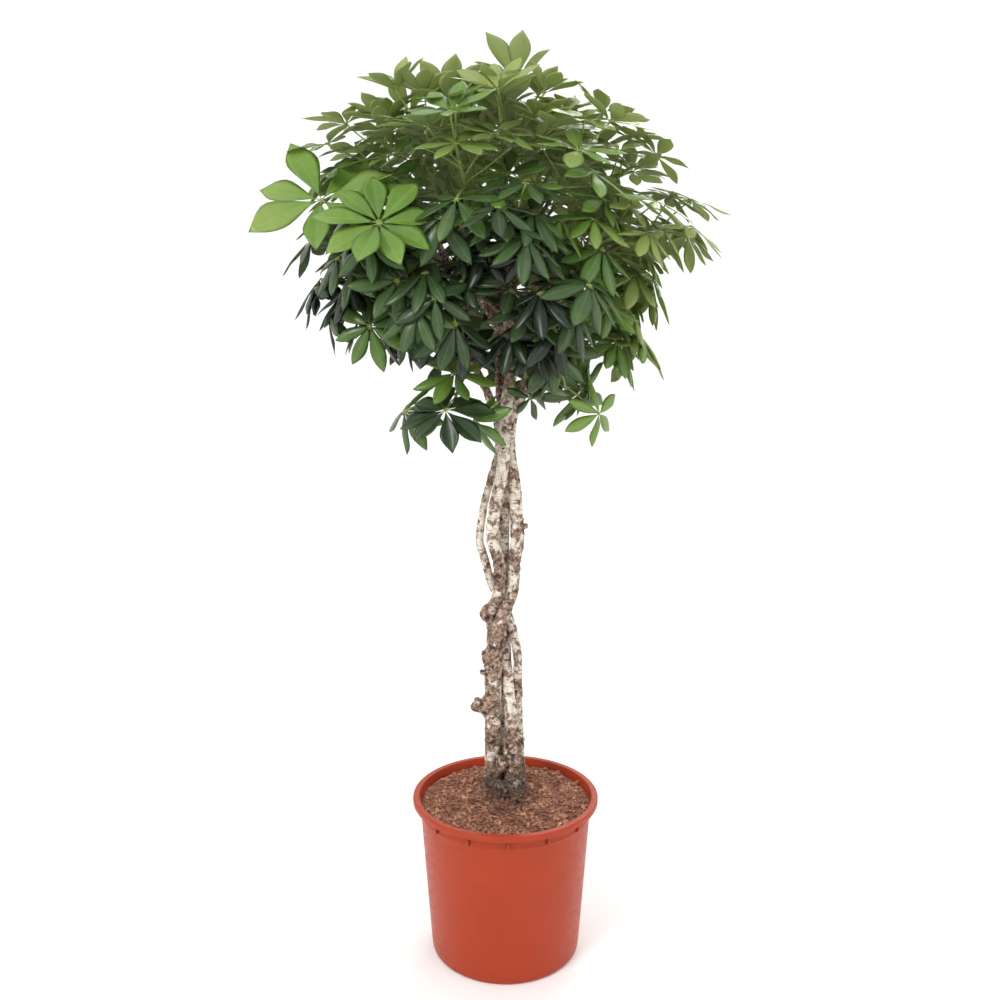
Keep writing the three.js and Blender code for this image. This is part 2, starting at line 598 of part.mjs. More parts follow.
// One body of blade and petiole. The blade's upper faces meet in a point over the hub. Its lower faces meet the
// top of the three-sided petiole, each third of the leaflets at one of its corners.
function leafSolid({ from, shape: { hub, facing, leaflets, notches } }) {
  const points = [along(hub, facing, LEAFLET.hubThickness / 2)];
  const triangles = [];
  const corner = (index) => Math.floor((PETIOLE.sides * (index % leaflets.length)) / leaflets.length);
  const rays = Array.from({ length: PETIOLE.sides }, () => new THREE.Vector3());
  leaflets.forEach(({ tip }, index) => rays[corner(index)].add(tip.clone().sub(hub).normalize()));
  const run = hub.clone().sub(from).normalize();
  const underHub = along(hub, facing, -LEAFLET.hubThickness / 2);
  const ends = [[underHub, facing, PETIOLE.endRadius], [from, run, PETIOLE.startRadius]];
  for (const [place, axis, radius] of ends) {
    rays.forEach((ray) => points.push(along(place, along(ray, axis, -ray.dot(axis)).normalize(), radius)));
  }
  for (let side = 0; side < PETIOLE.sides; side++) {
    const [here, next] = [1 + side, 1 + ((side + 1) % PETIOLE.sides)];
    triangles.push(next, here, here + PETIOLE.sides, next, here + PETIOLE.sides, next + PETIOLE.sides);
  }
  triangles.push(4, 6, 5);
  const firstLeaflet = points.length;
  const pointsEach = 4;
  leaflets.forEach(({ before, tip, after }, index) => {
    const notch = firstLeaflet + index * pointsEach;
    const nextNotch = firstLeaflet + ((index + 1) % leaflets.length) * pointsEach;
    points.push(notches[index], before, tip, after);
    const [low, end, high] = [notch + 1, notch + 2, notch + 3];
    const [under, nextUnder] = [1 + corner(index), 1 + corner(index + 1)];
    triangles.push(0, notch, low, 0, low, end, 0, end, high, 0, high, nextNotch);
    triangles.push(under, low, notch, under, end, low, under, high, end, under, nextNotch, high);
    if (under !== nextUnder) triangles.push(nextNotch, under, nextUnder);
  });
  return solidFrom(geometryFrom(points, triangles));
}

function petioleRod({ from, shape }, owner) {
  const run = shape.hub.clone().sub(from);
  return { start: along(from, run, 0.05), end: along(from, run, 1.02), radius: PETIOLE.startRadius, owner };
}

// A leaf turns to the light, but never so far that its leaflets would meet its own petiole.
function turnedTo(wish, run) {
  const facing = wish.clone().normalize();
  const short = LEAFLET.leastTurn - facing.dot(run);
  return short > 0 ? facing.addScaledVector(run, 1.3 * short).normalize() : facing;
}

// A leaf's first try follows the spiral on its shoot, and later ones swing and shrink until it has room.
function drawLeaf(shoot, index, attempt) {
  const draws = new Draws(shoot.number, index + 1, attempt);
  const share = shoot.leaves > 1 ? index / (shoot.leaves - 1) : 1;
  const from = shoot.foot.clone().lerp(shoot.tip, mix(SHOOT.firstLeaf, SHOOT.lastLeaf, share));
  const [across, other] = squareTo(shoot.direction);
  const loose = 1 + attempt / 6;
  const stray = (limit) => draws.between(-limit, limit);
  const swing = radians(SPIRAL.turn * index + SPIRAL.shootTurn * shoot.number + stray(SPIRAL.swing) * loose);
  const lean = radians(mix(PETIOLE.widest, PETIOLE.narrowest, share) + stray(SPIRAL.lean) * loose);
  const shrink = 1 - 0.018 * Math.max(0, attempt - TRIES.fullSize);
  const reach = mix(PETIOLE.longest, PETIOLE.shortest, share) * draws.between(0.85, 1.12) * shrink;
  const run = shoot.direction.clone().multiplyScalar(Math.cos(lean));
  run.addScaledVector(across, Math.sin(lean) * Math.cos(swing));
  run.addScaledVector(other, Math.sin(lean) * Math.sin(swing));
  const hub = along(from, run, reach);
  const outward = hub.clone().sub(vector(CROWN.middle)).normalize();
  const facing = run.clone().multiplyScalar(LIGHT.alongPetiole).addScaledVector(UP, LIGHT.up);
  facing.addScaledVector(outward, LIGHT.outward);
  facing.add(new THREE.Vector3(stray(LIGHT.stray), stray(LIGHT.stray), stray(LIGHT.stray)));
  const youth = THREE.MathUtils.clamp((outward.z + 0.1) * 0.95, 0, 1);
  const details = {
    hub,
    facing: turnedTo(facing, run),
    spin: draws.between(0, 360),
    cup: mix(LEAFLET.cup.old, LEAFLET.cup.young, youth) + draws.between(-5, 5),
    youth,
    count: Math.floor(draws.between(6.4, 8.7)) - (share < 0.2 ? 1 : 0),
    length: LEAFLET.length * draws.between(0.86, 1.1) * shrink,
  };
  return { from, shape: leafShape(details, draws) };
}

// A petiole may touch the shoot it grows from, and nothing else may touch.
function hasRoom(leaf, shoot) {
  const petiole = petioleRod(leaf, shoot.name);
  return rodsClear(petiole, placed.rods.filter((rod) => rod !== shoot.rod))
    && placed.leaves.every(({ shape }) => rodClearOfLeaf(petiole, shape))
    && placed.rods.every((rod) => rodClearOfLeaf(rod, leaf.shape))
    && placed.leaves.every(({ shape }) => leavesClear(leaf.shape, shape));
}

function growFirstWithRoom(shoot, tries, drawOne) {
  for (let attempt = 0; attempt < tries; attempt++) {
    const leaf = drawOne(attempt);
    if (hasRoom(leaf, shoot)) {
      shoot.grown.push(leaf);
      placed.leaves.push(leaf);
      placed.rods.push(petioleRod(leaf, shoot.name));
      return;
    }
  }
}

function drawLoneLeaf({ hub, facing, cup, spin, size, count }, shoot, attempt) {
  const draws = new Draws(shoot.number, 50 + shoot.grown.length, attempt);
  const from = shoot.foot.clone().lerp(shoot.tip, 0.97 - 0.14 * shoot.grown.length);
  const details = {
    hub: vector(hub),
    facing: turnedTo(vector(facing), vector(hub).sub(from).normalize()),
    spin: spin + 7 * attempt,
    cup,
    youth: size > 1 ? 1 : 0,
    count,
    length: LEAFLET.length * size * (1 - 0.02 * attempt),
  };
  return { from, shape: leafShape(details, draws) };
}

function growLoneLeaves(shoots) {
  for (const [shootName, hub, facing, cup, spin, size, count] of LONE_LEAVES) {
    const details = { hub, facing, cup, spin, size, count };
    const shoot = shoots.find(({ name }) => name === shootName);
    growFirstWithRoom(shoot, TRIES.loneLeaf, (attempt) => drawLoneLeaf(details, shoot, attempt));
  }
}

// The leaves at the shoots' tips come first, because they make the crown's outline.
function growLeaves(shoots) {
  const most = Math.max(...shoots.map(({ leaves }) => leaves));
  for (let fromTip = 0; fromTip < most; fromTip++) {
    for (const shoot of shoots.filter(({ leaves }) => fromTip < leaves)) {
      growFirstWithRoom(shoot, TRIES.leaf, (attempt) => drawLeaf(shoot, shoot.leaves - 1 - fromTip, attempt));
    }
  }
}

function shootSolid({ foot, tip, grown }) {
  const green = straightBar(foot, tip, SHOOT.startRadius, SHOOT.endRadius, SHOOT.sides);
  return grown.reduce((solid, leaf) => solid.add(leafSolid(leaf)), green);
}

// ---- The plant --------------------------------------------------------------------------------------

const shoots = [...loneShoots(), ...ringShoots()];
Object.keys(BRAID).forEach((name) => placed.rods.push(...rodsAlong(stemStations(name), name)));
shoots.forEach((shoot, number) => {
  placeShoot(shoot, number);
  shoot.grown = [];
});
growLoneLeaves(shoots);
growLeaves(shoots);

const plant = new THREE.Group();
plant.add(meshFrom(potSolid(), "pot", COLOURS.pot, 0.45));
plant.add(meshFrom(soilSolid(), "soil", COLOURS.soil, 0.95));
Object.keys(BRAID).forEach((name) => plant.add(meshFrom(stemSolid(name, shoots), name, COLOURS.bark, 0.85)));
for (const shoot of shoots) {
  const young = shoot.tip.z > SHOOT.youngAbove || shoot.name.startsWith("young");
  plant.add(meshFrom(shootSolid(shoot), `shoot_${shoot.name}`, young ? COLOURS.young : COLOURS.leaf, 0.4));
}

export default plant;
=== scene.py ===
"""A potted umbrella plant with a braided trunk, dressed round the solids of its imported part.

Sizes are millimetres, as on the real plant, and the meshes are made from them in metres. +Z is up, the origin
is the middle of the pot's foot, and the front of the plant faces -Y. Bearings are degrees round +Z from +X.
"""

import logging
import math
from collections.abc import Iterable, Sequence
from dataclasses import dataclass, field
from enum import Enum, IntEnum

import bpy
import numpy as np
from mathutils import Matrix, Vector, noise
from mathutils.kdtree import KDTree


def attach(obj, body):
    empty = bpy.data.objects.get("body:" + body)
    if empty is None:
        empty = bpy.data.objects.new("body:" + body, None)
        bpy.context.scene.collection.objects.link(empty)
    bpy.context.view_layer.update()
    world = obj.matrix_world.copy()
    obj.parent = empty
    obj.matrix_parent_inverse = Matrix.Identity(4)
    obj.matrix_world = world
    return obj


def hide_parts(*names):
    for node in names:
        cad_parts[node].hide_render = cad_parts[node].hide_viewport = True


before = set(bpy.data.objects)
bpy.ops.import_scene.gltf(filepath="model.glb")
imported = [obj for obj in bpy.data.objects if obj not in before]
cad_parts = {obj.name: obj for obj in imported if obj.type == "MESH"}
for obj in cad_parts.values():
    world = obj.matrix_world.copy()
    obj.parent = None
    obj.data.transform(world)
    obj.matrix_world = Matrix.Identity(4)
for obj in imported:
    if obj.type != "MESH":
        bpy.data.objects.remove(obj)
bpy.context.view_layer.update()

LOG = logging.getLogger("umbrella_plant")
MM = 0.001
UP = np.array([0.0, 0.0, 1.0])
GAP = 0.3  # between two pieces that touch on the real plant
SAME_PLACE = 0.05  # two corners nearer than this are one corner
NEARLY_UPRIGHT = 0.9  # how much of a direction may be along +Z before +X is the helper instead
DRAW_LIMIT = 2147483647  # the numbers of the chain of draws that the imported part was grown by
DRAW_FACTOR = 48271
DRAW_STEPS = (7368787, 1299709, 104729)  # for the shoot, the leaf and the try
Amount = float | np.ndarray


# ---- Materials ---------------------------------------------------------------------------------------


def linear(colour: str) -> tuple[float, float, float, float]:
    """Turn an sRGB hex colour into the linear one that a shader takes.

    Args:
        colour: six hex digits after a hash sign.

    Returns:
        Red, green, blue and an alpha of one.
    """
    parts = [int(colour[place:place + 2], 16) / 255 for place in (1, 3, 5)]
    bent = [part / 12.92 if part <= 0.04045 else ((part + 0.055) / 1.055) ** 2.4 for part in parts]
    return (bent[0], bent[1], bent[2], 1.0)


def scale_of(width: float) -> float:
    """The scale of a pattern whose marks are about a width across, in millimetres."""
    return 1 / (width * MM)


def add(tree: bpy.types.NodeTree, kind: str, settings: dict | None = None,
        links: dict | None = None) -> bpy.types.Node:
    """Add one node with its settings and links.

    Args:
        tree: the material's node tree.
        kind: the node's type name, without the ShaderNode before it.
        settings: properties or socket values by name or number, and "stops" for a ramp's places, each with a
            grey from 0 to 1 or a hex colour.
        links: what feeds each input, by name or number: an output, or a node whose first output is meant.

    Returns:
        The new node.
    """
    node = tree.nodes.new(f"ShaderNode{kind}")
    for name, value in (settings or {}).items():
        if name == "stops":
            while len(node.color_ramp.elements) < len(value):
                node.color_ramp.elements.new(0.5)
            for element, (place, colour) in zip(node.color_ramp.elements, value):
                element.position = place
                element.color = linear(colour) if isinstance(colour, str) else (colour, colour, colour, 1.0)
        elif isinstance(name, str) and hasattr(node, name):
            setattr(node, name, value)
        else:
            node.inputs[name].default_value = value
    for name, source in (links or {}).items():
        tree.links.new(source.outputs[0] if isinstance(source, bpy.types.Node) else source, node.inputs[name])
    return node


class Finish:
    """What the finishes share: a name and a material that holds the nodes of their own surface."""

    name: str

    def surface(self, tree: bpy.types.NodeTree) -> bpy.types.Node:
        """Add the finish's own nodes and give its shader."""
        raise NotImplementedError

    def material(self) -> bpy.types.Material:
        """Build the material.

        Returns:
            A new material with this finish's surface.
        """
        material = bpy.data.materials.new(self.name)
        material.use_nodes = True
        material.node_tree.nodes.clear()
        add(material.node_tree, "OutputMaterial", None, {0: self.surface(material.node_tree)})
        return material


@dataclass(frozen=True)
class MouldedPlastic(Finish):
    """Injection-moulded polypropylene, terracotta: a satin skin, with faint rings from its mould.

    A stretch below 1 draws a pattern out level, as turning and scuffing leave it.
    """

    name: str = "terracotta_polypropylene_moulded"
    body: str = "#A03412"
    worn: str = "#9C3312"
    bright: str = "#A33614"
    roughness: float = 0.4
    ior: float = 1.49
    gleam: float = 0.3
    cloud_width: float = 45.455
    scuff_width: float = 6.25
    scuff_stretch: float = 0.4
    ring_spacing: float = 7.0  # the mould's turning marks are finer and wouldn't show
    ring_stretch: float = 0.02

    def surface(self, tree: bpy.types.NodeTree) -> bpy.types.Node:
        """Add a clouded colour, fine rings and scuffs.

        Args:
            tree: the material's node tree.

        Returns:
            The shader.
        """
        place = add(tree, "NewGeometry").outputs["Position"]
        cloud = add(tree, "TexNoise", {"Scale": scale_of(self.cloud_width), "Detail": 5.0, "Roughness": 0.6},
                    {"Vector": place})
        tone = add(tree, "ValToRGB", {"stops": [(0.3, self.worn), (0.52, self.body), (0.78, self.bright)]},
                   {0: cloud})
        level = add(tree, "Mapping", {"Scale": (self.ring_stretch, self.ring_stretch, 1.0)},
                    {"Vector": place})
        rings = add(tree, "TexNoise", {"Scale": scale_of(self.ring_spacing), "Detail": 1.0},
                    {"Vector": level})
        squash = add(tree, "Mapping", {"Scale": (self.scuff_stretch, self.scuff_stretch, 1.0)},
                     {"Vector": place})
        scuffs = add(tree, "TexNoise", {"Scale": scale_of(self.scuff_width), "Detail": 6.0},
                     {"Vector": squash})
        dull = add(tree, "MapRange", {"From Min": 0.35, "From Max": 0.7, "To Min": self.roughness - 0.07,
                                      "To Max": self.roughness + 0.1}, {"Value": scuffs})
        ringed = add(tree, "Bump", {"Strength": 0.18, "Distance": 0.0006}, {"Height": rings})
        rough = add(tree, "Bump", {"Strength": 0.12, "Distance": 0.0002},
                    {"Height": scuffs, "Normal": ringed})
        return add(tree, "BsdfPrincipled", {"IOR": self.ior, "Specular IOR Level": self.gleam},
                   {"Base Color": tone, "Roughness": dull, "Normal": rough})


@dataclass(frozen=True)
class PeelingBark(Finish):
    """Living bark, grown: cream skin with short cross cracks, flaking off to rough brown cork."""

    name: str = "umbrella_plant_bark_grown"
    cream: str = "#C6B8A6"
    pale: str = "#EADFD1"
    brown: str = "#3E2D24"
    tan: str = "#866C5B"
    rose: str = "#C4A896"
    # The dark of the painted shade that fills the bark's hollows.
    painted_shade_colour: str = "#2B1F19"
    soiled: str = "#3A2F28"
    roughness: float = 0.86
    ior: float = 1.4
    patch_width: float = 14.0
    lump_width: float = 6.0
    flake_width: float = 2.4  # real flakes go down to half of this, which wouldn't show
    crack_spacing: float = 11.0
    crack_stretch: float = 0.22

    def surface(self, tree: bpy.types.NodeTree) -> bpy.types.Node:
        """Add cream and brown patches, cross cracks, painted shade in hollows, soil near the foot and a flaky
        bump.

        Args:
            tree: the material's node tree.

        Returns:
            The shader.
        """
        place = add(tree, "NewGeometry").outputs["Position"]
        worn, sunk, foot = [add(tree, "Attribute", {"attribute_name": label}).outputs["Fac"]
                            for label in ("worn", "sunk", "soiled")]
        patches = add(tree, "TexNoise", {"Scale": scale_of(self.patch_width), "Detail": 8.0,
                                         "Roughness": 0.72, "Distortion": 0.4}, {"Vector": place})
        flakes = add(tree, "TexNoise", {"Scale": scale_of(self.flake_width), "Detail": 5.0, "Roughness": 0.7},
                     {"Vector": place})
        lumps = add(tree, "TexNoise", {"Scale": scale_of(self.lump_width), "Detail": 4.0, "Roughness": 0.6},
                    {"Vector": place})
        across = add(tree, "Mapping", {"Scale": (self.crack_stretch, self.crack_stretch, 1.0)},
                     {"Vector": place})
        cracks = add(tree, "TexNoise", {"Scale": scale_of(self.crack_spacing), "Detail": 2.0},
                     {"Vector": across})
        speckle = add(tree, "Math", {"operation": "MULTIPLY", 1: 0.4}, {0: flakes})
        mottled = add(tree, "Math", {"operation": "MULTIPLY_ADD", 1: 0.6}, {0: lumps, 2: speckle})
        skin = add(tree, "ValToRGB", {"stops": [(0.4, self.cream), (0.56, self.pale)]}, {0: mottled})
        cork = add(tree, "ValToRGB", {"stops": [(0.4, self.brown), (0.5, self.tan), (0.62, self.rose)]},
                   {0: mottled})
        bare = add(tree, "Math", {"operation": "ADD"}, {0: patches, 1: worn})
        peeled = add(tree, "ValToRGB", {"stops": [(0.5, 0.0), (0.55, 1.0)]}, {0: bare})
        barked = add(tree, "Mix", {"data_type": "RGBA"}, {0: peeled, 6: skin, 7: cork}).outputs[2]
        # A crack runs where the stretched noise crosses its middle value.
        middle = add(tree, "Math", {"operation": "SUBTRACT", 1: 0.5}, {0: cracks})
        beside = add(tree, "Math", {"operation": "ABSOLUTE"}, {0: middle})
        crack = add(tree, "MapRange", {"From Min": 0.0, "From Max": 0.022, "To Min": 0.65, "To Max": 0.0},
                    {"Value": beside})
        cracked = add(tree, "Mix", {"data_type": "RGBA", 7: linear(self.brown)},
                      {0: crack, 6: barked}).outputs[2]
        # Painted shade: the bark is darkened where its relief sinks in.
        shaded = add(tree, "Mix", {"data_type": "RGBA", 7: linear(self.painted_shade_colour)},
                     {0: sunk, 6: cracked}).outputs[2]
        splashed = add(tree, "Math", {"operation": "ADD"}, {0: flakes, 1: foot})
        dirt = add(tree, "ValToRGB", {"stops": [(0.78, 0.0), (0.98, 0.92)]}, {0: splashed})
        colour = add(tree, "Mix", {"data_type": "RGBA", 7: linear(self.soiled)},
                     {0: dirt, 6: shaded}).outputs[2]
        height = add(tree, "Math", {"operation": "SUBTRACT"}, {0: flakes, 1: peeled})
        bump = add(tree, "Bump", {"Strength": 0.7, "Distance": 0.0011}, {"Height": height})
        return add(tree, "BsdfPrincipled", {"IOR": self.ior, "Roughness": self.roughness},
                   {"Base Color": colour, "Normal": bump})


@dataclass(frozen=True)
class PottingMix(Finish):
    """Composted bark and coir, loose: red-brown crumbs, darker where they are damp."""

    name: str = "bark_potting_mix_loose"
    dry: str = "#8F5E49"
    light: str = "#C89A79"
    damp: str = "#524039"
    roughness: float = 0.92
    ior: float = 1.4
    crumb_width: float = 2.2  # coir dust is far finer and wouldn't show

    def surface(self, tree: bpy.types.NodeTree) -> bpy.types.Node:
        """Add a tone for each chip, damp round the trunk, and a crumbly bump.

        Args:
            tree: the material's node tree.

        Returns:
            The shader.
        """
        place = add(tree, "NewGeometry").outputs["Position"]
        tint, damp = [add(tree, "Attribute", {"attribute_name": label}).outputs["Fac"]
                      for label in ("tint", "damp")]
        crumbs = add(tree, "TexNoise", {"Scale": scale_of(self.crumb_width), "Detail": 6.0, "Roughness": 0.7},
                     {"Vector": place})
        chip = add(tree, "Math", {"operation": "MULTIPLY", 1: 0.6}, {0: tint})
        mixed = add(tree, "Math", {"operation": "MULTIPLY_ADD", 1: 0.5}, {0: crumbs, 2: chip})
        dry = add(tree, "ValToRGB", {"stops": [(0.2, self.damp), (0.5, self.dry), (0.86, self.light)]},
                  {0: mixed})
        colour = add(tree, "Mix", {"data_type": "RGBA", 7: linear(self.damp)}, {0: damp, 6: dry}).outputs[2]
        bump = add(tree, "Bump", {"Strength": 0.7, "Distance": 0.0012}, {"Height": crumbs})
        return add(tree, "BsdfPrincipled", {"IOR": self.ior, "Roughness": self.roughness},
                   {"Base Color": colour, "Normal": bump})


@dataclass(frozen=True)
class LeafSkin(Finish):
    """One side of a living leaf, grown: a waxy skin over green flesh, with a paler rib and side veins."""

    name: str
    old: str
    middle: str
    young: str
    newest: str
    rib: str
    young_rib: str
    roughness: float
    coat: float
    through: float
    lit_old: str = "#41592F"
    lit_young: str = "#BBCD7C"
    ior: float = 1.45
    gleam: float = 0.26
    coat_roughness: float = 0.2
    variety: float = 0.62
    rib_share: float = 0.38
    vein_share: float = 0.1
    vein_slant: float = 0.75
    vein_spacing: float = 8.0
    spot_width: float = 11.111

    def surface(self, tree: bpy.types.NodeTree) -> bpy.types.Node:
        """Add the green by age and painted light, with painted hub shade, mottling, veins and some light let
        through.

        Args:
            tree: the material's node tree.

        Returns:
            The shader.
        """
        place = add(tree, "NewGeometry").outputs["Position"]
        # The youth attribute holds the leaf's age with painted light added: lighter for leaves turned up into
        # the backlight and on the crown's +X side.
        age_and_painted_light, tint = [add(tree, "Attribute", {"attribute_name": label}).outputs["Fac"]
                     for label in ("youth", "tint")]
        flat = add(tree, "SeparateXYZ", None, {0: add(tree, "UVMap", {"uv_map": "leaf"})})
        spots = add(tree, "TexNoise", {"Scale": scale_of(self.spot_width), "Detail": 4.0}, {"Vector": place})
        # Painted shade darkens each leaflet near its hub; towards the tip it turns lighter, as new growth is.
        hub_shade_and_tip_tone = add(tree, "MapRange", {"From Min": 5.0, "From Max": 75.0, "To Min": -0.09, "To Max": 0.07},
                      {"Value": flat.outputs["Y"]})
        tone_with_painted_light = add(tree, "Math", {"operation": "MULTIPLY_ADD", 1: self.variety}, {0: tint, 2: age_and_painted_light})
        tone_with_painted_light = add(tree, "Math", {"operation": "ADD"}, {0: tone_with_painted_light, 1: hub_shade_and_tip_tone})
        shade = add(tree, "Math", {"operation": "MULTIPLY_ADD", 1: 0.22}, {0: spots, 2: tone_with_painted_light})
        shade = add(tree, "Math", {"operation": "MULTIPLY", 1: 0.8}, {0: shade})
        green = add(tree, "ValToRGB", {"stops": [(0.14, self.old), (0.5, self.middle), (0.78, self.young),
                                                 (1.0, self.newest)]}, {0: shade})
        rib_green = add(tree, "ValToRGB", {"stops": [(0.14, self.rib), (0.9, self.young_rib)]}, {0: shade})
        # The leaf's flat map has millimetres across the leaflet in X and along it in Y.
        side = add(tree, "Math", {"operation": "ABSOLUTE"}, {0: flat.outputs["X"]})
        rib = add(tree, "MapRange", {"From Min": 0.35, "From Max": 0.95, "To Min": self.rib_share,
                                     "To Max": 0.0}, {"Value": side})
        slant = add(tree, "Math", {"operation": "MULTIPLY_ADD", 1: -self.vein_slant},
                    {0: side, 2: flat.outputs["Y"]})
        wave = add(tree, "Math", {"operation": "MULTIPLY", 1: 2 * math.pi / self.vein_spacing}, {0: slant})
        crest = add(tree, "Math", {"operation": "SINE"}, {0: wave})
        vein = add(tree, "MapRange", {"From Min": 0.84, "From Max": 1.0, "To Min": 0.0,
                                      "To Max": self.vein_share}, {"Value": crest})
        pale = add(tree, "Math", {"operation": "MAXIMUM"}, {0: rib, 1: vein})
        colour = add(tree, "Mix", {"data_type": "RGBA"}, {0: pale, 6: green, 7: rib_green}).outputs[2]
        bump = add(tree, "Bump", {"Strength": 0.8, "Distance": 0.0005, "invert": True}, {"Height": pale})
        worn = add(tree, "MapRange", {"From Min": 0.3, "From Max": 0.7, "To Min": self.roughness - 0.06,
                                      "To Max": self.roughness + 0.1}, {"Value": spots})
        skin = add(tree, "BsdfPrincipled", {"IOR": self.ior, "Specular IOR Level": self.gleam,
                                            "Coat Weight": self.coat, "Coat Roughness": self.coat_roughness},
                   {"Base Color": colour, "Roughness": worn, "Normal": bump})
        lit = add(tree, "ValToRGB", {"stops": [(0.14, self.lit_old), (0.8, self.lit_young)]}, {0: shade})
        glow = add(tree, "BsdfTranslucent", None, {"Color": lit})
        return add(tree, "MixShader", {0: self.through}, {1: skin, 2: glow})


@dataclass(frozen=True)
class GreenStalk(Finish):
    """A petiole or a young shoot, grown: smooth and waxy, yellow-green, and brown where it turns to wood."""

    name: str = "green_stalk_grown"
    green: str = "#76893F"
    pale: str = "#94A45A"
    woody: str = "#6A5A42"
    roughness: float = 0.48
    ior: float = 1.45
    line_width: float = 3.8462  # the real lines are ten times finer and wouldn't show

    def surface(self, tree: bpy.types.NodeTree) -> bpy.types.Node:
        """Add green that turns to wood, with fine marks in it.

        Args:
            tree: the material's node tree.

        Returns:
            The shader.
        """
        place = add(tree, "NewGeometry").outputs["Position"]
        wood = add(tree, "Attribute", {"attribute_name": "tint"}).outputs["Fac"]
        marks = add(tree, "TexNoise", {"Scale": scale_of(self.line_width), "Detail": 3.0}, {"Vector": place})
        green = add(tree, "ValToRGB", {"stops": [(0.35, self.green), (0.65, self.pale)]}, {0: marks})
        colour = add(tree, "Mix", {"data_type": "RGBA", 7: linear(self.woody)},
                     {0: wood, 6: green}).outputs[2]
        bump = add(tree, "Bump", {"Strength": 0.2, "Distance": 0.0003}, {"Height": marks})
        return add(tree, "BsdfPrincipled", {"IOR": self.ior, "Roughness": self.roughness},
                   {"Base Color": colour, "Normal": bump})


@dataclass(frozen=True)
class PaintedFloor(Finish):
    """A studio floor painted white: matt, with a trace of roller texture."""

    name: str = "white_studio_paint_rolled"
    colour: str = "#F8F8F7"
    roughness: float = 0.8
    stipple_width: float = 25.0  # real roller stipple is finer and wouldn't show

    def surface(self, tree: bpy.types.NodeTree) -> bpy.types.Node:
        """Add white with a very light texture.

        Args:
            tree: the material's node tree.

        Returns:
            The shader.
        """
        place = add(tree, "NewGeometry").outputs["Position"]
        stipple = add(tree, "TexNoise", {"Scale": scale_of(self.stipple_width), "Detail": 2.0},
                      {"Vector": place})
        bump = add(tree, "Bump", {"Strength": 0.04, "Distance": 0.001}, {"Height": stipple})
        return add(tree, "BsdfPrincipled", {"Base Color": linear(self.colour), "Roughness": self.roughness},
                   {"Normal": bump})


class LeafFinish(Enum):
    """The finishes of a leafy shoot, in the order of its material slots."""

    UPPER = LeafSkin("umbrella_leaf_upper_side_grown", old="#1A261C", middle="#425D35", young="#688F38",
                     newest="#95A65E", rib="#556A4A", young_rib="#A9B76A",
                     roughness=0.34, coat=0.5, through=0.28)
    LOWER = LeafSkin("umbrella_leaf_underside_grown", old="#4B5C42", middle="#8E9F74", young="#B0BF8C",
                     newest="#BCC58E", rib="#A3AE82", young_rib="#C9D2A0",
                     roughness=0.55, coat=0.0, through=0.5)
    STALK = GreenStalk()


class Slot(IntEnum):
    """The places of the finishes in a leafy shoot's mesh."""

    UPPER = 0
    LOWER = 1
    STALK = 2


# ---- Directions, draws and meshes --------------------------------------------------------------------


def mix(low: Amount, high: Amount, share: Amount) -> Amount:
    """The value a share of the way from low to high."""
    return low + (high - low) * share


def unit(vector: np.ndarray) -> np.ndarray:
    """The same direction at length one."""
    return vector / np.linalg.norm(vector)


def pointing(bearing: float, slope: float) -> np.ndarray:
    """The direction at a bearing round +Z and a slope above level, both in degrees."""
    level = math.cos(math.radians(slope))
    turn = math.radians(bearing)
    return np.array([level * math.cos(turn), level * math.sin(turn), math.sin(math.radians(slope))])


def grain(point: Sequence[float], width: float) -> float:
    """Smooth noise from about -1 to 1 at a point, with lumps about a width across."""
    return noise.noise(Vector([value / width for value in point]))


def square_to(axis: np.ndarray) -> tuple[np.ndarray, np.ndarray]:
    """Two directions square to an axis and to each other."""
    helper = UP if abs(axis[2]) < NEARLY_UPRIGHT else np.array([1.0, 0.0, 0.0])
    first = unit(np.cross(helper, axis))
    return first, np.cross(axis, first)


@dataclass
class Draws:
    """A chain of numbers from 0 to 1, the same each time for the same shoot, leaf and try."""

    shoot: int
    leaf: int
    attempt: int
    state: int = field(init=False)

    def __post_init__(self) -> None:
        """Start the chain and throw its first two numbers away."""
        places = zip((self.shoot, self.leaf, self.attempt), DRAW_STEPS)
        self.state = (1 + sum(number * step for number, step in places)) % DRAW_LIMIT
        self.next()
        self.next()

    def next(self) -> float:
        """The next number from 0 to 1."""
        self.state = self.state * DRAW_FACTOR % DRAW_LIMIT
        return self.state / DRAW_LIMIT

    def between(self, low: float, high: float) -> float:
        """The next number, spread from low to high."""
        return low + (high - low) * self.next()


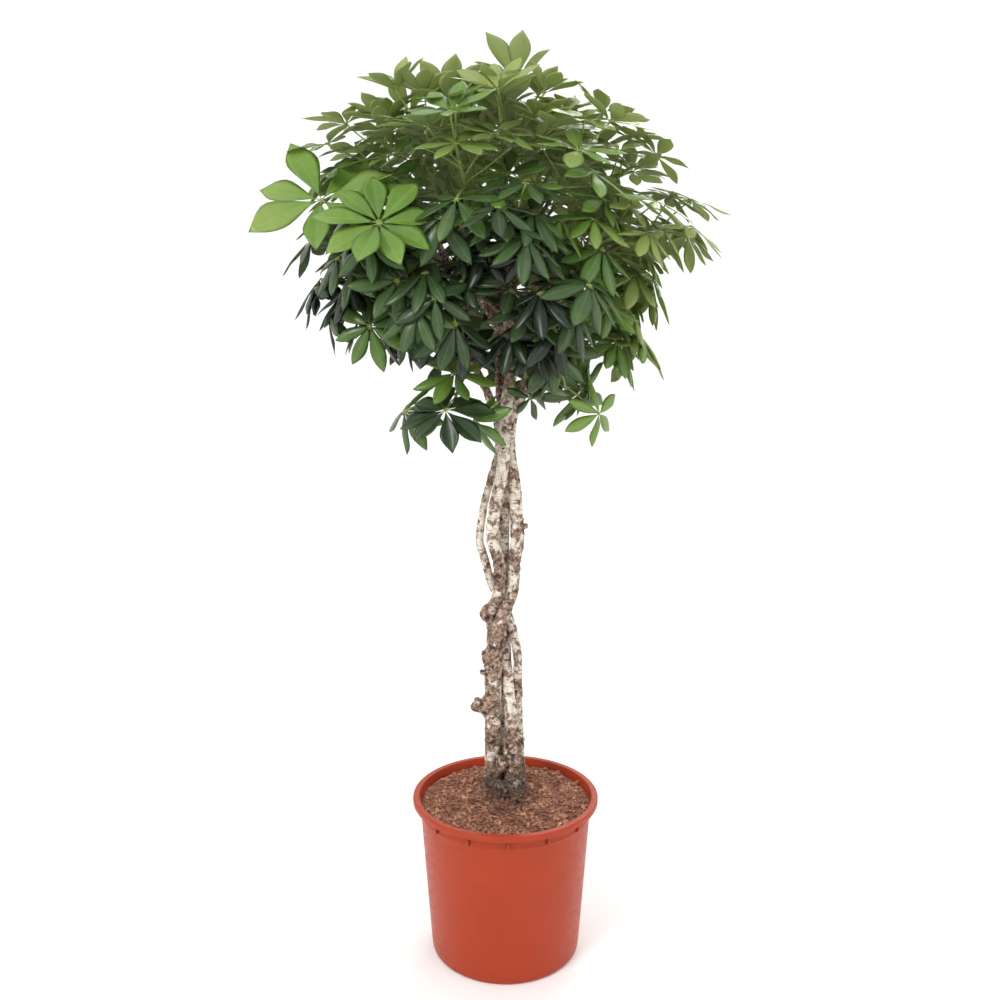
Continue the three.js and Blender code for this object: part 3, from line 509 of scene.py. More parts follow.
@dataclass
class Surface:
    """A mesh while it grows: points in millimetres, faces, and what the points and faces carry."""

    points: list[np.ndarray] = field(default_factory=list)
    faces: list[Sequence[int]] = field(default_factory=list)
    slots: list[int] = field(default_factory=list)
    values: dict[str, list[np.ndarray]] = field(default_factory=dict)
    grid: list[np.ndarray] = field(default_factory=list)
    count: int = 0

    def append(self, points: np.ndarray, faces: Iterable[Sequence[int]], slots: int | Sequence[int] = 0,
               grid: np.ndarray | None = None, **values: float | np.ndarray) -> None:
        """Add a patch of points and faces.

        Args:
            points: places in millimetres.
            faces: the corners of each face, counted from the patch's first point.
            slots: the material place of every face, or one for each.
            grid: a flat place for each point, for patterns that follow the form.
            values: numbers that the points carry, by name, one for all or one each.
        """
        faces = [tuple(corner + self.count for corner in face) for face in faces]
        self.points.append(np.asarray(points, dtype=float))
        self.faces.extend(faces)
        self.slots.extend([int(slots)] * len(faces) if isinstance(slots, int) else slots)
        self.grid.append(np.zeros((len(points), 2)) if grid is None else np.asarray(grid, dtype=float))
        for name, value in values.items():
            self.values.setdefault(name, []).append(np.broadcast_to(value, len(points)))
        self.count += len(points)

    def piece(self, name: str, finishes: Sequence[bpy.types.Material],
              smooth: bool = True) -> bpy.types.Object:
        """Make the object.

        Args:
            name: the piece's name.
            finishes: its materials, in the order of the slots.
            smooth: whether its faces are shaded as one curved skin.

        Returns:
            The new object, linked to the scene.
        """
        mesh = bpy.data.meshes.new(name)
        mesh.from_pydata((np.concatenate(self.points) * MM).tolist(), [], self.faces)
        mesh.polygons.foreach_set("material_index", np.array(self.slots, dtype=np.int32))
        mesh.polygons.foreach_set("use_smooth", np.full(len(self.faces), smooth))
        for finish in finishes:
            mesh.materials.append(finish)
        corners = np.empty(len(mesh.loops), dtype=np.int32)
        mesh.loops.foreach_get("vertex_index", corners)
        layer = mesh.uv_layers.new(name="leaf")
        layer.data.foreach_set("uv", np.concatenate(self.grid)[corners].ravel())
        for label, parts in self.values.items():
            attribute = mesh.attributes.new(label, "FLOAT", "POINT")
            attribute.data.foreach_set("value", np.concatenate(parts).astype(np.float32))
        mesh.update()
        made = bpy.data.objects.new(name, mesh)
        bpy.context.collection.objects.link(made)
        return made


def level_ring(radius: float, height: float, sides: int) -> list[tuple[float, float, float]]:
    """The points of a level circle round +Z."""
    angles = 2 * math.pi * np.arange(sides) / sides
    return [(radius * math.cos(angle), radius * math.sin(angle), height) for angle in angles]


def band(first: int, sides: int, from_above: bool = False) -> list[tuple[int, ...]]:
    """The faces between a ring of points and the next one.

    Args:
        first: the number of the first ring's first point.
        sides: how many points each ring has.
        from_above: whether the next ring lies outside this one and the faces look up, not outward.

    Returns:
        One four-cornered face for each side.
    """
    faces = []
    for side in range(sides):
        here, beside = first + side, first + (side + 1) % sides
        faces.append((here, here + sides, beside + sides, beside) if from_above
                     else (here, beside, beside + sides, here + sides))
    return faces


def fan(middle: int, first: int, sides: int, from_above: bool) -> list[tuple[int, ...]]:
    """The faces between a ring of points and the point in its middle, as seen from above or from below."""
    faces = [(middle, first + side, first + (side + 1) % sides) for side in range(sides)]
    return faces if from_above else [face[::-1] for face in faces]


def turned_faces(rings: int, sides: int, from_above: bool = False,
                 closed: bool = True) -> list[tuple[int, ...]]:
    """The faces of a turned body: a middle point, rings of points one after another, and a last middle point.

    Args:
        rings: how many rings there are.
        sides: how many points each ring has.
        from_above: whether the skin looks up where it starts.
        closed: whether there is a last middle point.

    Returns:
        The faces, from the first point on.
    """
    faces = fan(0, 1, sides, from_above)
    for ring in range(rings - 1):
        faces.extend(band(1 + ring * sides, sides, from_above))
    last = 1 + (rings - 1) * sides
    return [*faces, *fan(last + sides, last, sides, not from_above)] if closed else faces


def bar_faces(rings: int, sides: int) -> list[tuple[int, ...]]:
    """The faces of a closed bar of rings, whose ends are flat."""
    faces = [face for ring in range(rings - 1) for face in band(ring * sides, sides)]
    last = (rings - 1) * sides
    return [*faces, tuple(range(sides - 1, -1, -1)), tuple(range(last, last + sides))]


def rounded(radius: float, height: float, rounding: float, first: float,
            last: float) -> list[tuple[float, float]]:
    """A round corner of a turned section.

    Args:
        radius: how far the rounding's middle is from the axis.
        height: how high the rounding's middle is.
        rounding: the corner's own radius.
        first: where it starts, in degrees above level.
        last: where it ends.

    Returns:
        Six points as radius and height.
    """
    turns = [math.radians(angle) for angle in np.linspace(first, last, 6)]
    return [(radius + rounding * math.cos(turn), height + rounding * math.sin(turn)) for turn in turns]


def turning(first: int, second: int, angle: float) -> np.ndarray:
    """The matrix that turns rows of points by an angle, from one axis towards another."""
    matrix = np.eye(3)
    matrix[first, first] = matrix[second, second] = math.cos(angle)
    matrix[first, second] = math.sin(angle)
    matrix[second, first] = -math.sin(angle)
    return matrix


def tube(points: np.ndarray, radii: Sequence[float], sides: int) -> tuple[np.ndarray, list[tuple[int, ...]]]:
    """A closed round bar through points.

    Args:
        points: the middle line in millimetres.
        radii: the radius at each point.
        sides: how many sides go round it.

    Returns:
        The bar's points and its faces.
    """
    runs = np.gradient(points, axis=0)
    across = square_to(unit(runs[0]))[0]
    rings = []
    angles = 2 * math.pi * np.arange(sides) / sides
    for point, run, radius in zip(points, runs, radii):
        run = unit(run)
        across = unit(across - run * across.dot(run))
        other = np.cross(run, across)
        rings.append(point + radius * (np.outer(np.cos(angles), across) + np.outer(np.sin(angles), other)))
    return np.concatenate(rings), bar_faces(len(points), sides)


def smooth_line(points: np.ndarray, pieces: int) -> np.ndarray:
    """A line drawn smoothly through rows of numbers.

    Args:
        points: the rows to pass through.
        pieces: how many steps go between two rows.

    Returns:
        The rows of the smooth line.
    """
    padded = np.vstack([2 * points[0] - points[1], points, 2 * points[-1] - points[-2]])
    rows = []
    for index in range(1, len(padded) - 2):
        before, start, end, after = padded[index - 1:index + 3]
        for share in np.arange(pieces) / pieces:
            rows.append(0.5 * (2 * start + (end - before) * share
                               + (2 * before - 5 * start + 4 * end - after) * share ** 2
                               + (3 * start - before - 3 * end + after) * share ** 3))
    return np.vstack([*rows, points[-1]])


def packed(replaced: str, made: bpy.types.Object) -> None:
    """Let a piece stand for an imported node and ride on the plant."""
    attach(made, "root")
    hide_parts(replaced)
    LOG.info("%s stands for %s, with %d faces", made.name, replaced, len(made.data.polygons))


# ---- The pot -----------------------------------------------------------------------------------------


@dataclass
class Pot:
    """The nursery pot: a tapered wall, a rolled lip with small ribs under it, and drain holes below."""

    rim_radius: float = 145.0
    height: float = 251.0
    lip_height: float = 9.0
    lip_width: float = 10.0
    lip_rounding: float = 2.6
    body_top_radius: float = 134.0
    foot_radius: float = 116.5
    foot_rounding: float = 6.0
    edge_rounding: float = 1.0
    wall: float = 2.4
    floor: float = 3.0
    ribs: int = 14
    rib_width: float = 4.6
    rib_height: float = 15.0
    rib_proud: float = 4.2
    first_rib: float = -88.5
    rib_rounding: float = 1.3
    rib_sunk: float = 0.8
    rib_line: float = 16.0
    line_proud: float = 0.5
    line_half_width: float = 0.6
    drains: int = 6
    drain_radius: float = 6.0
    drain_circle: float = 78.0
    sides: int = 210

    @property
    def under_lip(self) -> float:
        """The height of the lip's underside."""
        return self.height - self.lip_height

    def wall_radius(self, height: float) -> float:
        """The outside radius of the wall at a height."""
        return mix(self.foot_radius, self.body_top_radius, height / self.under_lip)

    def profile(self) -> list[tuple[float, float]]:
        """The wall's section, from the middle of the foot round to the middle of the floor.

        Returns:
            Its points as radius and height, with both ends on the axis.
        """
        under, line = self.under_lip, self.under_lip - self.rib_line
        edge = self.edge_rounding
        outside = np.linspace(14, line - 4, 12)
        inside = np.linspace(220, 20, 5)
        inner_foot = self.wall_radius(self.floor) - self.wall
        inner_top = self.wall_radius(under) - self.wall
        return [
            (0.0, 0.0), (60.0, 0.0), (self.foot_radius - 12, 0.0),
            *rounded(self.foot_radius - self.foot_rounding, self.foot_rounding, self.foot_rounding, -90, -4),
            *[(self.wall_radius(height), height) for height in outside],
            # The fine raised line below the ribs.
            (self.wall_radius(line - self.line_half_width), line - self.line_half_width),
            (self.wall_radius(line) + self.line_proud, line),
            (self.wall_radius(line + self.line_half_width), line + self.line_half_width),
            # The wall behind the ribs, which turns outward into the lip's underside.
            (self.wall_radius(under - 8), under - 8), (self.wall_radius(under - 1.5), under - 1.5),
            (self.wall_radius(under) + 0.5, under - 0.3), (self.wall_radius(under) + 1.5, under),
            (self.rim_radius - 2.2, under),
            *rounded(self.rim_radius - edge, under + edge, edge, -90, 0),
            *rounded(self.rim_radius - self.lip_rounding, self.height - self.lip_rounding, self.lip_rounding,
                     0, 90),
            *rounded(self.rim_radius - self.lip_width + edge, self.height - edge, edge, 90, 180),
            # Down the inside to the floor.
            (inner_top + 0.2, under), (inner_top, under - 2),
            *[(self.wall_radius(height) - self.wall, height) for height in inside],
            (inner_foot, self.floor + 2), (inner_foot - 2, self.floor), (0.0, self.floor),
        ]

    def rib(self, surface: Surface, bearing: float) -> None:
        """Add one rib, a small upright bar with a rounded back and a sloping foot."""
        out, along = pointing(bearing, 0), pointing(bearing + 90, 0)
        top, low = self.under_lip + 0.2, self.under_lip - self.rib_height
        inner = self.wall_radius(low) - self.rib_sunk
        outer = self.body_top_radius + self.rib_proud
        half, rounding = self.rib_width / 2, self.rib_rounding
        one_side = [(inner, -half), (outer - 1.2, -half), (outer - 0.3, 0.5 - half), (outer, rounding - half)]
        section = one_side + [(radius, -side) for radius, side in reversed(one_side)]
        rows = []
        # Each row is a height and how far the rib's back has drawn in there.
        for height, ease in ((low, 2.4), (low + 1.0, 0.8), (low + 3.5, 0.0), (top, 0.0)):
            rows.append([out * max(inner, radius - ease) + along * (side * (1 - 0.05 * ease)) + UP * height
                         for radius, side in section])
        surface.append(np.array(rows).reshape(-1, 3), bar_faces(len(rows), len(section)))

    def build(self) -> bpy.types.Object:
        """Build the pot's fine mesh.

        Returns:
            The pot, closed, with its drain holes cut.
        """
        surface = Surface()
        profile = self.profile()
        rings = profile[1:-1]
        points = [(0.0, 0.0, profile[0][1])]
        for radius, height in rings:
            points.extend(level_ring(radius, height, self.sides))
        points.append((0.0, 0.0, profile[-1][1]))
        surface.append(np.array(points), turned_faces(len(rings), self.sides))
        wall = surface.piece("pot_wall", [])
        self.cut_drains(wall)
        finished = Surface()
        finished.append(np.array([corner.co for corner in wall.data.vertices]) / MM,
                        [tuple(face.vertices) for face in wall.data.polygons])
        bpy.data.objects.remove(wall)
        for index in range(self.ribs):
            self.rib(finished, self.first_rib + 360 * index / self.ribs)
        return finished.piece("pot_moulded", [MouldedPlastic().material()])

    def cut_drains(self, pot: bpy.types.Object) -> None:
        """Cut the drain holes through the pot's floor."""
        cutter = Surface()
        for index in range(self.drains):
            centre = pointing(360 * index / self.drains, 0) * self.drain_circle
            line = np.array([centre - UP * 4, centre + UP * (self.floor + 1)])
            cutter.append(*tube(line, [self.drain_radius] * 2, 24))
        bits = cutter.piece("drain_cutter", [])
        change = pot.modifiers.new("drains", "BOOLEAN")
        change.operation, change.solver, change.object = "DIFFERENCE", "EXACT", bits
        apply_modifiers(pot)
        bpy.data.objects.remove(bits)


def apply_modifiers(made: bpy.types.Object) -> None:
    """Turn a piece's modifiers into its mesh."""
    evaluated = made.evaluated_get(bpy.context.evaluated_depsgraph_get())
    mesh = bpy.data.meshes.new_from_object(evaluated)
    made.modifiers.clear()
    made.data = mesh


# ---- The soil ----------------------------------------------------------------------------------------


@dataclass(frozen=True)
class ChipShape:
    """How a chip of bark is drawn: shares of the longest length, and then of the chip's own."""

    length: tuple[float, float] = (0.4, 1.0)
    large_share: float = 0.06
    large_gain: float = 0.9
    width: tuple[float, float] = (0.4, 0.8)
    thickness: tuple[float, float] = (0.2, 0.45)
    broken: float = 0.34
    tilt: float = 0.34
    lift: tuple[float, float] = (0.3, 1.6)
    lift_by_length: float = 0.12


@dataclass(frozen=True)
class Chips:
    """Loose bark of one kind: how many, the longest, how near and far they lie, and how high they pile up."""

    count: int
    longest: float
    near: float
    far: float
    pile: float = 0.0


CRUMBS = Chips(900, 4.2, 14, 52)
CLODS = Chips(520, 9.0, 22, 46, pile=14.0)


@dataclass
class Soil:
    """The potting mix: a mounded body with loose bark chips lying on it."""

    pot: Pot
    edge_height: float = 239.0
    middle_height: float = 244.0
    relief: float = 1.5
    lump_height: float = 1.6
    lump_width: float = 7.0
    grit_height: float = 0.8
    grit_width: float = 2.6
    heap: float = 10.0
    heap_radius: float = 28.0
    pile_edge: float = 48.0
    pile_foot: float = 16.0
    damp_middle: tuple[float, float] = (2.0, -10.0)
    damp_reach: float = 43.0
    damp_patch: float = 13.0
    dampest: float = 0.88
    rings: int = 56
    sides: int = 150
    chip: ChipShape = field(default_factory=ChipShape)
    seed: int = 11

    def radius(self, height: float) -> float:
        """The radius that fits inside the pot's wall at a height."""
        return self.pot.wall_radius(height) - self.pot.wall - GAP

    def height_at(self, x: float, y: float) -> float:
        """The height of the loose surface, with low mounds and a small heap round the stems."""
        edge = self.radius(self.edge_height)
        away = x * x + y * y
        rise = (self.middle_height - self.edge_height) * (1 - away / (edge * edge))
        heap = self.heap * math.exp(-away / self.heap_radius ** 2)
        mounds = math.sin(x / 17 + 1.3) * math.cos(y / 21 - 0.4) + 0.5 * math.sin((x + y) / 9)
        return self.edge_height + rise + heap + self.relief * mounds

    def dampness(self, points: np.ndarray) -> np.ndarray:
        """How damp the mix is at each point, which is most round the trunk and in front of it."""
        spread = np.array([0.35 * grain((x, y, 0), self.damp_patch) for x, y in points[:, :2]])
        away = points[:, :2] - self.damp_middle
        near = np.exp(-(away[:, 0] ** 2 + away[:, 1] ** 2) / self.damp_reach ** 2)
        return np.clip(1.3 * near + spread * (near > 0.05) - 0.2, 0, self.dampest)

    def body(self, surface: Surface) -> None:
        """Add the closed body under the chips."""
        edge = self.radius(self.edge_height)
        points = [(0.0, 0.0, self.height_at(0, 0))]
        for ring in range(1, self.rings + 1):
            for x, y, _ in level_ring(edge * ring / self.rings, 0.0, self.sides):
                lump = self.lump_height * noise.noise(Vector((x / self.lump_width, y / self.lump_width, 3)))
                grit = self.grit_height * noise.noise(Vector((x / self.grit_width, y / self.grit_width, 9)))
                points.append((x, y, self.height_at(x, y) + lump + grit))
        low = self.pot.floor + GAP
        points.extend(level_ring(self.radius(low), low, self.sides))
        points.append((0.0, 0.0, low))
        points = np.array(points)
        faces = turned_faces(self.rings + 1, self.sides, from_above=True)
        surface.append(points, faces, tint=0.3, damp=self.dampness(points))

    def scatter(self, surface: Surface, chips: Chips) -> None:
        """Lay chips: flat splinters of bark with broken corners.

        Args:
            surface: the mesh that they are added to.
            chips: which chips they are and where they lie.
        """
        random = np.random.default_rng(self.seed + chips.count)
        shape = self.chip
        faces = [(0, 3, 2, 1), (4, 5, 6, 7), (0, 1, 5, 4), (1, 2, 6, 5), (2, 3, 7, 6), (3, 0, 4, 7)]
        box = np.array([[-1, -1, -1], [1, -1, -1], [1, 1, -1], [-1, 1, -1],
                        [-1, -1, 1], [1, -1, 1], [1, 1, 1], [-1, 1, 1]]) / 2
        for _ in range(chips.count):
            length = chips.longest * random.uniform(*shape.length)
            length *= 1 + shape.large_gain * (random.random() < shape.large_share)
            size = length * np.array([1.0, random.uniform(*shape.width), random.uniform(*shape.thickness)])
            corners = box * (1 + random.uniform(-shape.broken, shape.broken, (8, 3))) * size
            heading = random.uniform(0, 2 * math.pi)
            tilt, roll = random.normal(0, shape.tilt, 2)
            turned = corners @ turning(1, 2, roll) @ turning(0, 2, tilt) @ turning(0, 1, heading)
            out = math.sqrt(random.uniform(chips.near ** 2, chips.far ** 2))
            bearing = random.uniform(0, 2 * math.pi)
            x, y = out * math.cos(bearing), out * math.sin(bearing)
            piled = chips.pile * random.random() * min(1.0, max(0.0, (self.pile_edge - out) / self.pile_foot))
            lift = random.uniform(*shape.lift) + length * shape.lift_by_length + piled
            points = turned + np.array([x, y, self.height_at(x, y) + lift])
            drift = 0.5 + 0.9 * noise.noise(Vector((x / 24, y / 24, 5)))
            surface.append(points, faces, tint=min(1.0, max(0.0, 0.55 * random.random() + 0.45 * drift)),
                           damp=float(self.dampness(points[:1])[0]))

    def build(self) -> bpy.types.Object:
        """Build the soil with its chips.

        Returns:
            The piece that stands for the packed soil.
        """
        surface = Surface()
        self.body(surface)
        self.scatter(surface, Chips(2600, 5.6, 10, self.radius(self.edge_height) - 3))
        for chips in (CRUMBS, CLODS):
            self.scatter(surface, chips)
        return surface.piece("soil_with_chips", [PottingMix().material()], smooth=False)


# ---- The stems ---------------------------------------------------------------------------------------

# Each stem's way through the braid and out into the crown, as height, x, y and radius.
BRAID = {
    "stem_left": [
        (150, 24, 10, 8), (245, 24, 10, 8), (330, 21.5, 12, 7.5), (402, 19, 8, 7.3), (467, 19, 2.5, 7.2),
        (505, 13, 5, 7), (530, 6, 8, 7), (555, -3, 9, 6.8), (580, -19, 9, 6.5), (624, -32, 4, 6.4),
        (655, -39, 2, 6), (700, -34, 6, 5.8), (747, -23, 8, 5.6), (790, -11, 6, 5.6), (840, -14, 5, 5.5),
        (885, -30, 4, 5.5), (950, -62, 2, 5.2), (1030, -80, 0, 4.6),
    ],
    "stem_front": [
        (150, -5, 19, 10), (245, -5, 19, 11), (330, -8, 17, 10), (402, -7, 15, 9), (467, -19, 15, 9),
        (530, -20, 10, 9), (555, -17, -2, 8.6), (580, -10, -12, 8.4), (624, -10, -10, 9.3),
        (655, -20, -11, 9.3), (700, -17, -12, 9.6), (747, -8, -13, 9.5), (790, -2, -13.5, 9.4),
        (840, 0, -13, 9.2), (885, 4, -24, 9), (940, 14, -50, 8), (1040, 6, -72, 6),
    ],
    "stem_right": [
        (150, -20, -5, 12.5), (245, -20, -5, 13.6), (330, -20, -6, 12.4), (402, -19, -6, 12.4),
        (467, -18, -9, 13), (530, -8, -13, 10.5), (555, 2, -11, 9), (580, 11, -2, 9.2), (624, 13, -3, 10),
        (655, 18, -4, 10.4), (700, 16, -3, 10), (747, 12.5, -1, 9.4), (790, 6, 6.5, 8.8), (840, 9, 7, 8.6),
        (885, 26, 6, 8.4), (945, 58, -2, 7.4), (1030, 84, -8, 5.6),
    ],
    "stem_back": [
        (150, 11, -9, 12.5), (245, 11, -9, 13.6), (330, 12, -9, 12.4), (402, 7, -8, 9), (467, 1, 9, 8.4),
        (530, 1, 24, 8.6), (555, 5, 24.5, 8.6), (580, 0, 20, 9), (624, -2, 17, 9), (655, -3, 9, 8.8),
        (700, -2, 10, 8.4), (747, -3, 15, 8.2), (790, -6, 21.5, 8), (840, -6, 23, 7.8), (885, -8, 40, 7.4),
        (945, -8, 66, 6.8), (1040, -4, 80, 5.4),
    ],
}
STEM_BEARINGS = {"stem_right": 0, "stem_back": 90, "stem_left": 180, "stem_front": 270}


@dataclass(frozen=True)
class Knob:
    """A round swelling where a twig was cut off and healed over."""

    stem: str
    height: float
    bearing: float
    offset: float
    radius: float

    def rough(self) -> tuple[np.ndarray, float]:
        """The middle of its rough bark, from the stem's middle line, and how far that bark reaches."""
        return pointing(self.bearing, 0) * (self.offset + self.radius * 0.4), self.radius * 1.7


@dataclass(frozen=True)
class Stub:
    """What is left of a twig that was cut off later."""

    stem: str
    height: float
    bearing: float
    slope: float
    radius: float
    length: float

    def rough(self) -> tuple[np.ndarray, float]:
        """The middle of its rough bark, from the stem's middle line, and how far that bark reaches."""
        return pointing(self.bearing, self.slope) * self.length * 0.65, self.length * 0.6 + self.radius * 0.5


# Low swellings that close the grooves between the stems just above the soil.
BURLS = (
    Knob("stem_right", 262, 322, 19, 11), Knob("stem_right", 306, 318, 18, 9),
    Knob("stem_back", 330, 262, 10, 11.5), Knob("stem_back", 252, 320, 10, 10),
)
KNOBS = (
    Knob("stem_right", 400, 200, 6, 11), Knob("stem_right", 346, 265, 7, 9),
    Knob("stem_back", 338, 290, 4, 14), Knob("stem_front", 541, 215, 9, 10.5),
    Knob("stem_right", 476, 190, 9, 10), Knob("stem_front", 602, 275, 3, 9),
)
STUBS = (
    Stub("stem_right", 388, 188, 22, 8.5, 33), Stub("stem_right", 450, 192, 5, 3.4, 21),
    Stub("stem_right", 672, 350, 20, 4.2, 16), Stub("stem_front", 905, 235, 40, 5.5, 20),
)


@dataclass(frozen=True)
class Stretch:
    """A stretch of a stem whose bark is browner than the rest, or paler where the number is below 0."""

    stem: str
    low: float
    high: float
    brown: float
    burr: float = 0.0


WEATHERING = (
    Stretch("stem_front", 600, 642, 0.12, 0.6), Stretch("stem_front", 500, 600, 0.09, 0.2),
    Stretch("stem_front", 650, 830, -0.12), Stretch("stem_right", 458, 514, 0.07, 1.0),
    Stretch("stem_right", 396, 458, 0.07, 0.3), Stretch("stem_right", 356, 394, -0.24),
    Stretch("stem_right", 514, 590, 0.09, 0.2), Stretch("stem_right", 606, 650, 0.08, 0.4),
    Stretch("stem_right", 652, 692, -0.16), Stretch("stem_right", 692, 830, -0.07),
    Stretch("stem_left", 340, 400, -0.16), Stretch("stem_left", 405, 438, 0.1),
    Stretch("stem_left", 440, 456, -0.16), Stretch("stem_left", 458, 484, 0.07),
    Stretch("stem_left", 484, 600, -0.2), Stretch("stem_left", 620, 830, -0.12),
    Stretch("stem_back", 306, 360, 0.1, 0.9), Stretch("stem_back", 362, 404, -0.24),
    Stretch("stem_back", 404, 460, -0.05), Stretch("stem_back", 460, 640, 0.05),
    Stretch("stem_back", 640, 830, -0.04),
)


def stem_at(name: str, height: float) -> tuple[np.ndarray, np.ndarray, float]:
    """Where a stem is at a height.

    Args:
        name: the stem.
        height: how high, in millimetres.

    Returns:
        The middle of the stem, the direction it runs in and its radius.
    """
    rows = np.array(BRAID[name], dtype=float)
    points, radii = rows[:, [1, 2, 0]], rows[:, 3]
    last = len(rows) - 1
    runs = [unit(points[min(index + 1, last)] - points[max(index - 1, 0)]) for index in range(len(rows))]
    above = max(1, int(np.argmax(rows[:, 0] >= height)))
    below = above - 1
    share = (height - rows[below, 0]) / (rows[above, 0] - rows[below, 0])
    middle = mix(points[below], points[above], share)
    return middle, unit(mix(runs[below], runs[above], share)), mix(radii[below], radii[above], share)


# ---- The crown's shoots ------------------------------------------------------------------------------

CROWN_MIDDLE = np.array([-22.0, 0.0, 1104.0])
CROWN_OUTWARD = 0.86  # how much a shoot points away from the crown's middle
CROWN_UPWARD = 0.36  # how much it points up to the light
SHOOT_RADIUS = 3.3
SIDE_SHARE = math.cos(math.radians(45))  # four stems share the crown, a quarter turn each


@dataclass(frozen=True)
class Ring:
    """A ring of shoots round the crown's middle, at one slope above it."""

    name: str
    slope: float
    reach: float
    count: int
    first_bearing: float
    length: float
    fork: float
    leaves: int


RINGS = (
    Ring("upper", 48, 174, 6, -20, 120, 1024, 4),
    Ring("middle", 25, 210, 7, 0, 130, 1000, 4),
    Ring("wide", -2, 208, 7, 22, 126, 965, 4),
    Ring("lower", -27, 204, 7, 42, 118, 930, 3),
)


@dataclass
class LimbShape:
    """How a bare limb leaves its stem."""

    start_radius: float = 5.0
    end_radius: float = 3.7
    handle: float = 0.36
    parting: float = 0.65
    wander: float = 0.16
    fork_spread: tuple[float, float] = (-14.0, 10.0)
    fork_step: float = 4.0
    thickest: float = 0.85
    tries: int = 12


@dataclass
class Shoot:
    """A leafy shoot: where it starts and ends, and the limb that carries it."""

    name: str
    stem: str
    fork: float
    tip: np.ndarray
    length: float
    leaves: int
    number: int = 0
    attempt: int = 0
    direction: np.ndarray = field(init=False)

    def __post_init__(self) -> None:
        """Turn the shoot outward and a little up."""
        outward = unit(self.tip - CROWN_MIDDLE)
        self.direction = unit(outward * CROWN_OUTWARD + UP * CROWN_UPWARD)

    @property
    def foot(self) -> np.ndarray:
        """Where the shoot starts, nearer to its tip the more often it was drawn."""
        return self.tip - self.direction * self.length * (1 - 0.05 * self.attempt)

    def limb(self, shape: LimbShape, pieces: int) -> tuple[np.ndarray, list[float]]:
        """The limb from the stem to the shoot's foot.

        Args:
            shape: how limbs leave their stems.
            pieces: how many steps it has.

        Returns:
            The limb's middle line and its radius at each point.
        """
        draws = Draws(self.number, 0, self.attempt)
        highest = BRAID[self.stem][-1][0] - shape.start_radius
        height = min(highest, self.fork + draws.between(*shape.fork_spread) - shape.fork_step * self.attempt)
        start, run, thickness = stem_at(self.stem, height)
        foot = self.foot - self.direction * GAP
        handle = shape.handle * float(np.linalg.norm(start - foot))
        leaving = unit(mix(run, unit(foot - start), shape.parting))
        bend = np.array([handle * draws.between(-1, 1) * shape.wander * (1 + self.attempt) for _ in range(3)])
        second, third = start + leaving * handle + bend, foot - self.direction * handle
        shares = np.linspace(0, 1, pieces + 1)[:, None]
        line = ((1 - shares) ** 3 * start + 3 * (1 - shares) ** 2 * shares * second
                + 3 * (1 - shares) * shares ** 2 * third + shares ** 3 * foot)
        thick = min(shape.start_radius, thickness * shape.thickest)
        return line, [mix(thick, shape.end_radius, float(share)) for share in shares[:, 0]]


# Each row is a shoot's name, its stem, the height of its fork, its tip, its length and its spiral's leaves.
LONE_SHOOTS = (
    ("young_left", "stem_left", 1000, (-168, -118, 1062), 110, 2),
    ("top_peak", "stem_right", 1022, (14, -16, 1266), 112, 4),
    ("top_left", "stem_back", 1032, (-58, 12, 1250), 112, 4),
    ("high_left", "stem_left", 1015, (-192, -10, 1228), 120, 3),
    ("far_left", "stem_left", 985, (-226, -40, 1034), 120, 3),
    ("far_right", "stem_right", 1005, (226, -22, 1116), 130, 4),
    ("low_left", "stem_left", 862, (-74, -34, 868), 54, 1),
    ("low_right", "stem_right", 872, (88, -36, 882), 60, 1),
    ("low_far_right", "stem_right", 915, (150, 4, 950), 90, 3),
    ("heart_front", "stem_front", 985, (8, -150, 1085), 70, 4),
    ("skirt_front", "stem_front", 925, (46, -96, 968), 60, 3),
    ("skirt_back", "stem_back", 900, (52, 92, 944), 60, 2),
    ("low_front", "stem_front", 880, (14, -66, 880), 26, 0),
)


def stem_for(bearing: float) -> str:
    """The stem whose side of the crown a bearing is on."""
    return next(name for name, middle in STEM_BEARINGS.items()
                if math.cos(math.radians(bearing - middle)) > SIDE_SHARE)


def all_shoots() -> list[Shoot]:
    """Every shoot of the plant: the lone ones first, then ring by ring."""
    shoots = [Shoot(name, stem, fork, np.array(tip, dtype=float), length, leaves)
              for name, stem, fork, tip, length, leaves in LONE_SHOOTS]
    for ring in RINGS:
        for index in range(ring.count):
            bearing = ring.first_bearing + 360 * index / ring.count
            tip = CROWN_MIDDLE + pointing(bearing, ring.slope) * ring.reach
            shoots.append(Shoot(f"{ring.name}_{index + 1}", stem_for(bearing), ring.fork, tip, ring.length,
                                ring.leaves))
    for index, shoot in enumerate(shoots):
        shoot.number = index + 1
    return shoots


@dataclass
class PackedNode:
    """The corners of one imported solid, which tell which of its tries a shoot or a leaf was grown by."""

    name: str
    tree: KDTree = field(init=False)

    def __post_init__(self) -> None:
        """Sort the node's corners by place."""
        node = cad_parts[self.name]
        self.tree = KDTree(len(node.data.vertices))
        for vertex in node.data.vertices:
            self.tree.insert(node.matrix_world @ vertex.co, vertex.index)
        self.tree.balance()

    def has(self, point: np.ndarray) -> bool:
        """Whether the solid has a corner at a point."""
        return self.tree.find(Vector(point * MM))[2] < SAME_PLACE * MM


# ---- Leaves ------------------------------------------------------------------------------------------


@dataclass(frozen=True)
class LoneLeaf:
    """A leaf that the front view shows by itself."""

    shoot: str
    hub: tuple[float, float, float]
    facing: tuple[float, float, float]
    cup: float
    spin: float
    size: float
    count: int
    tone: float


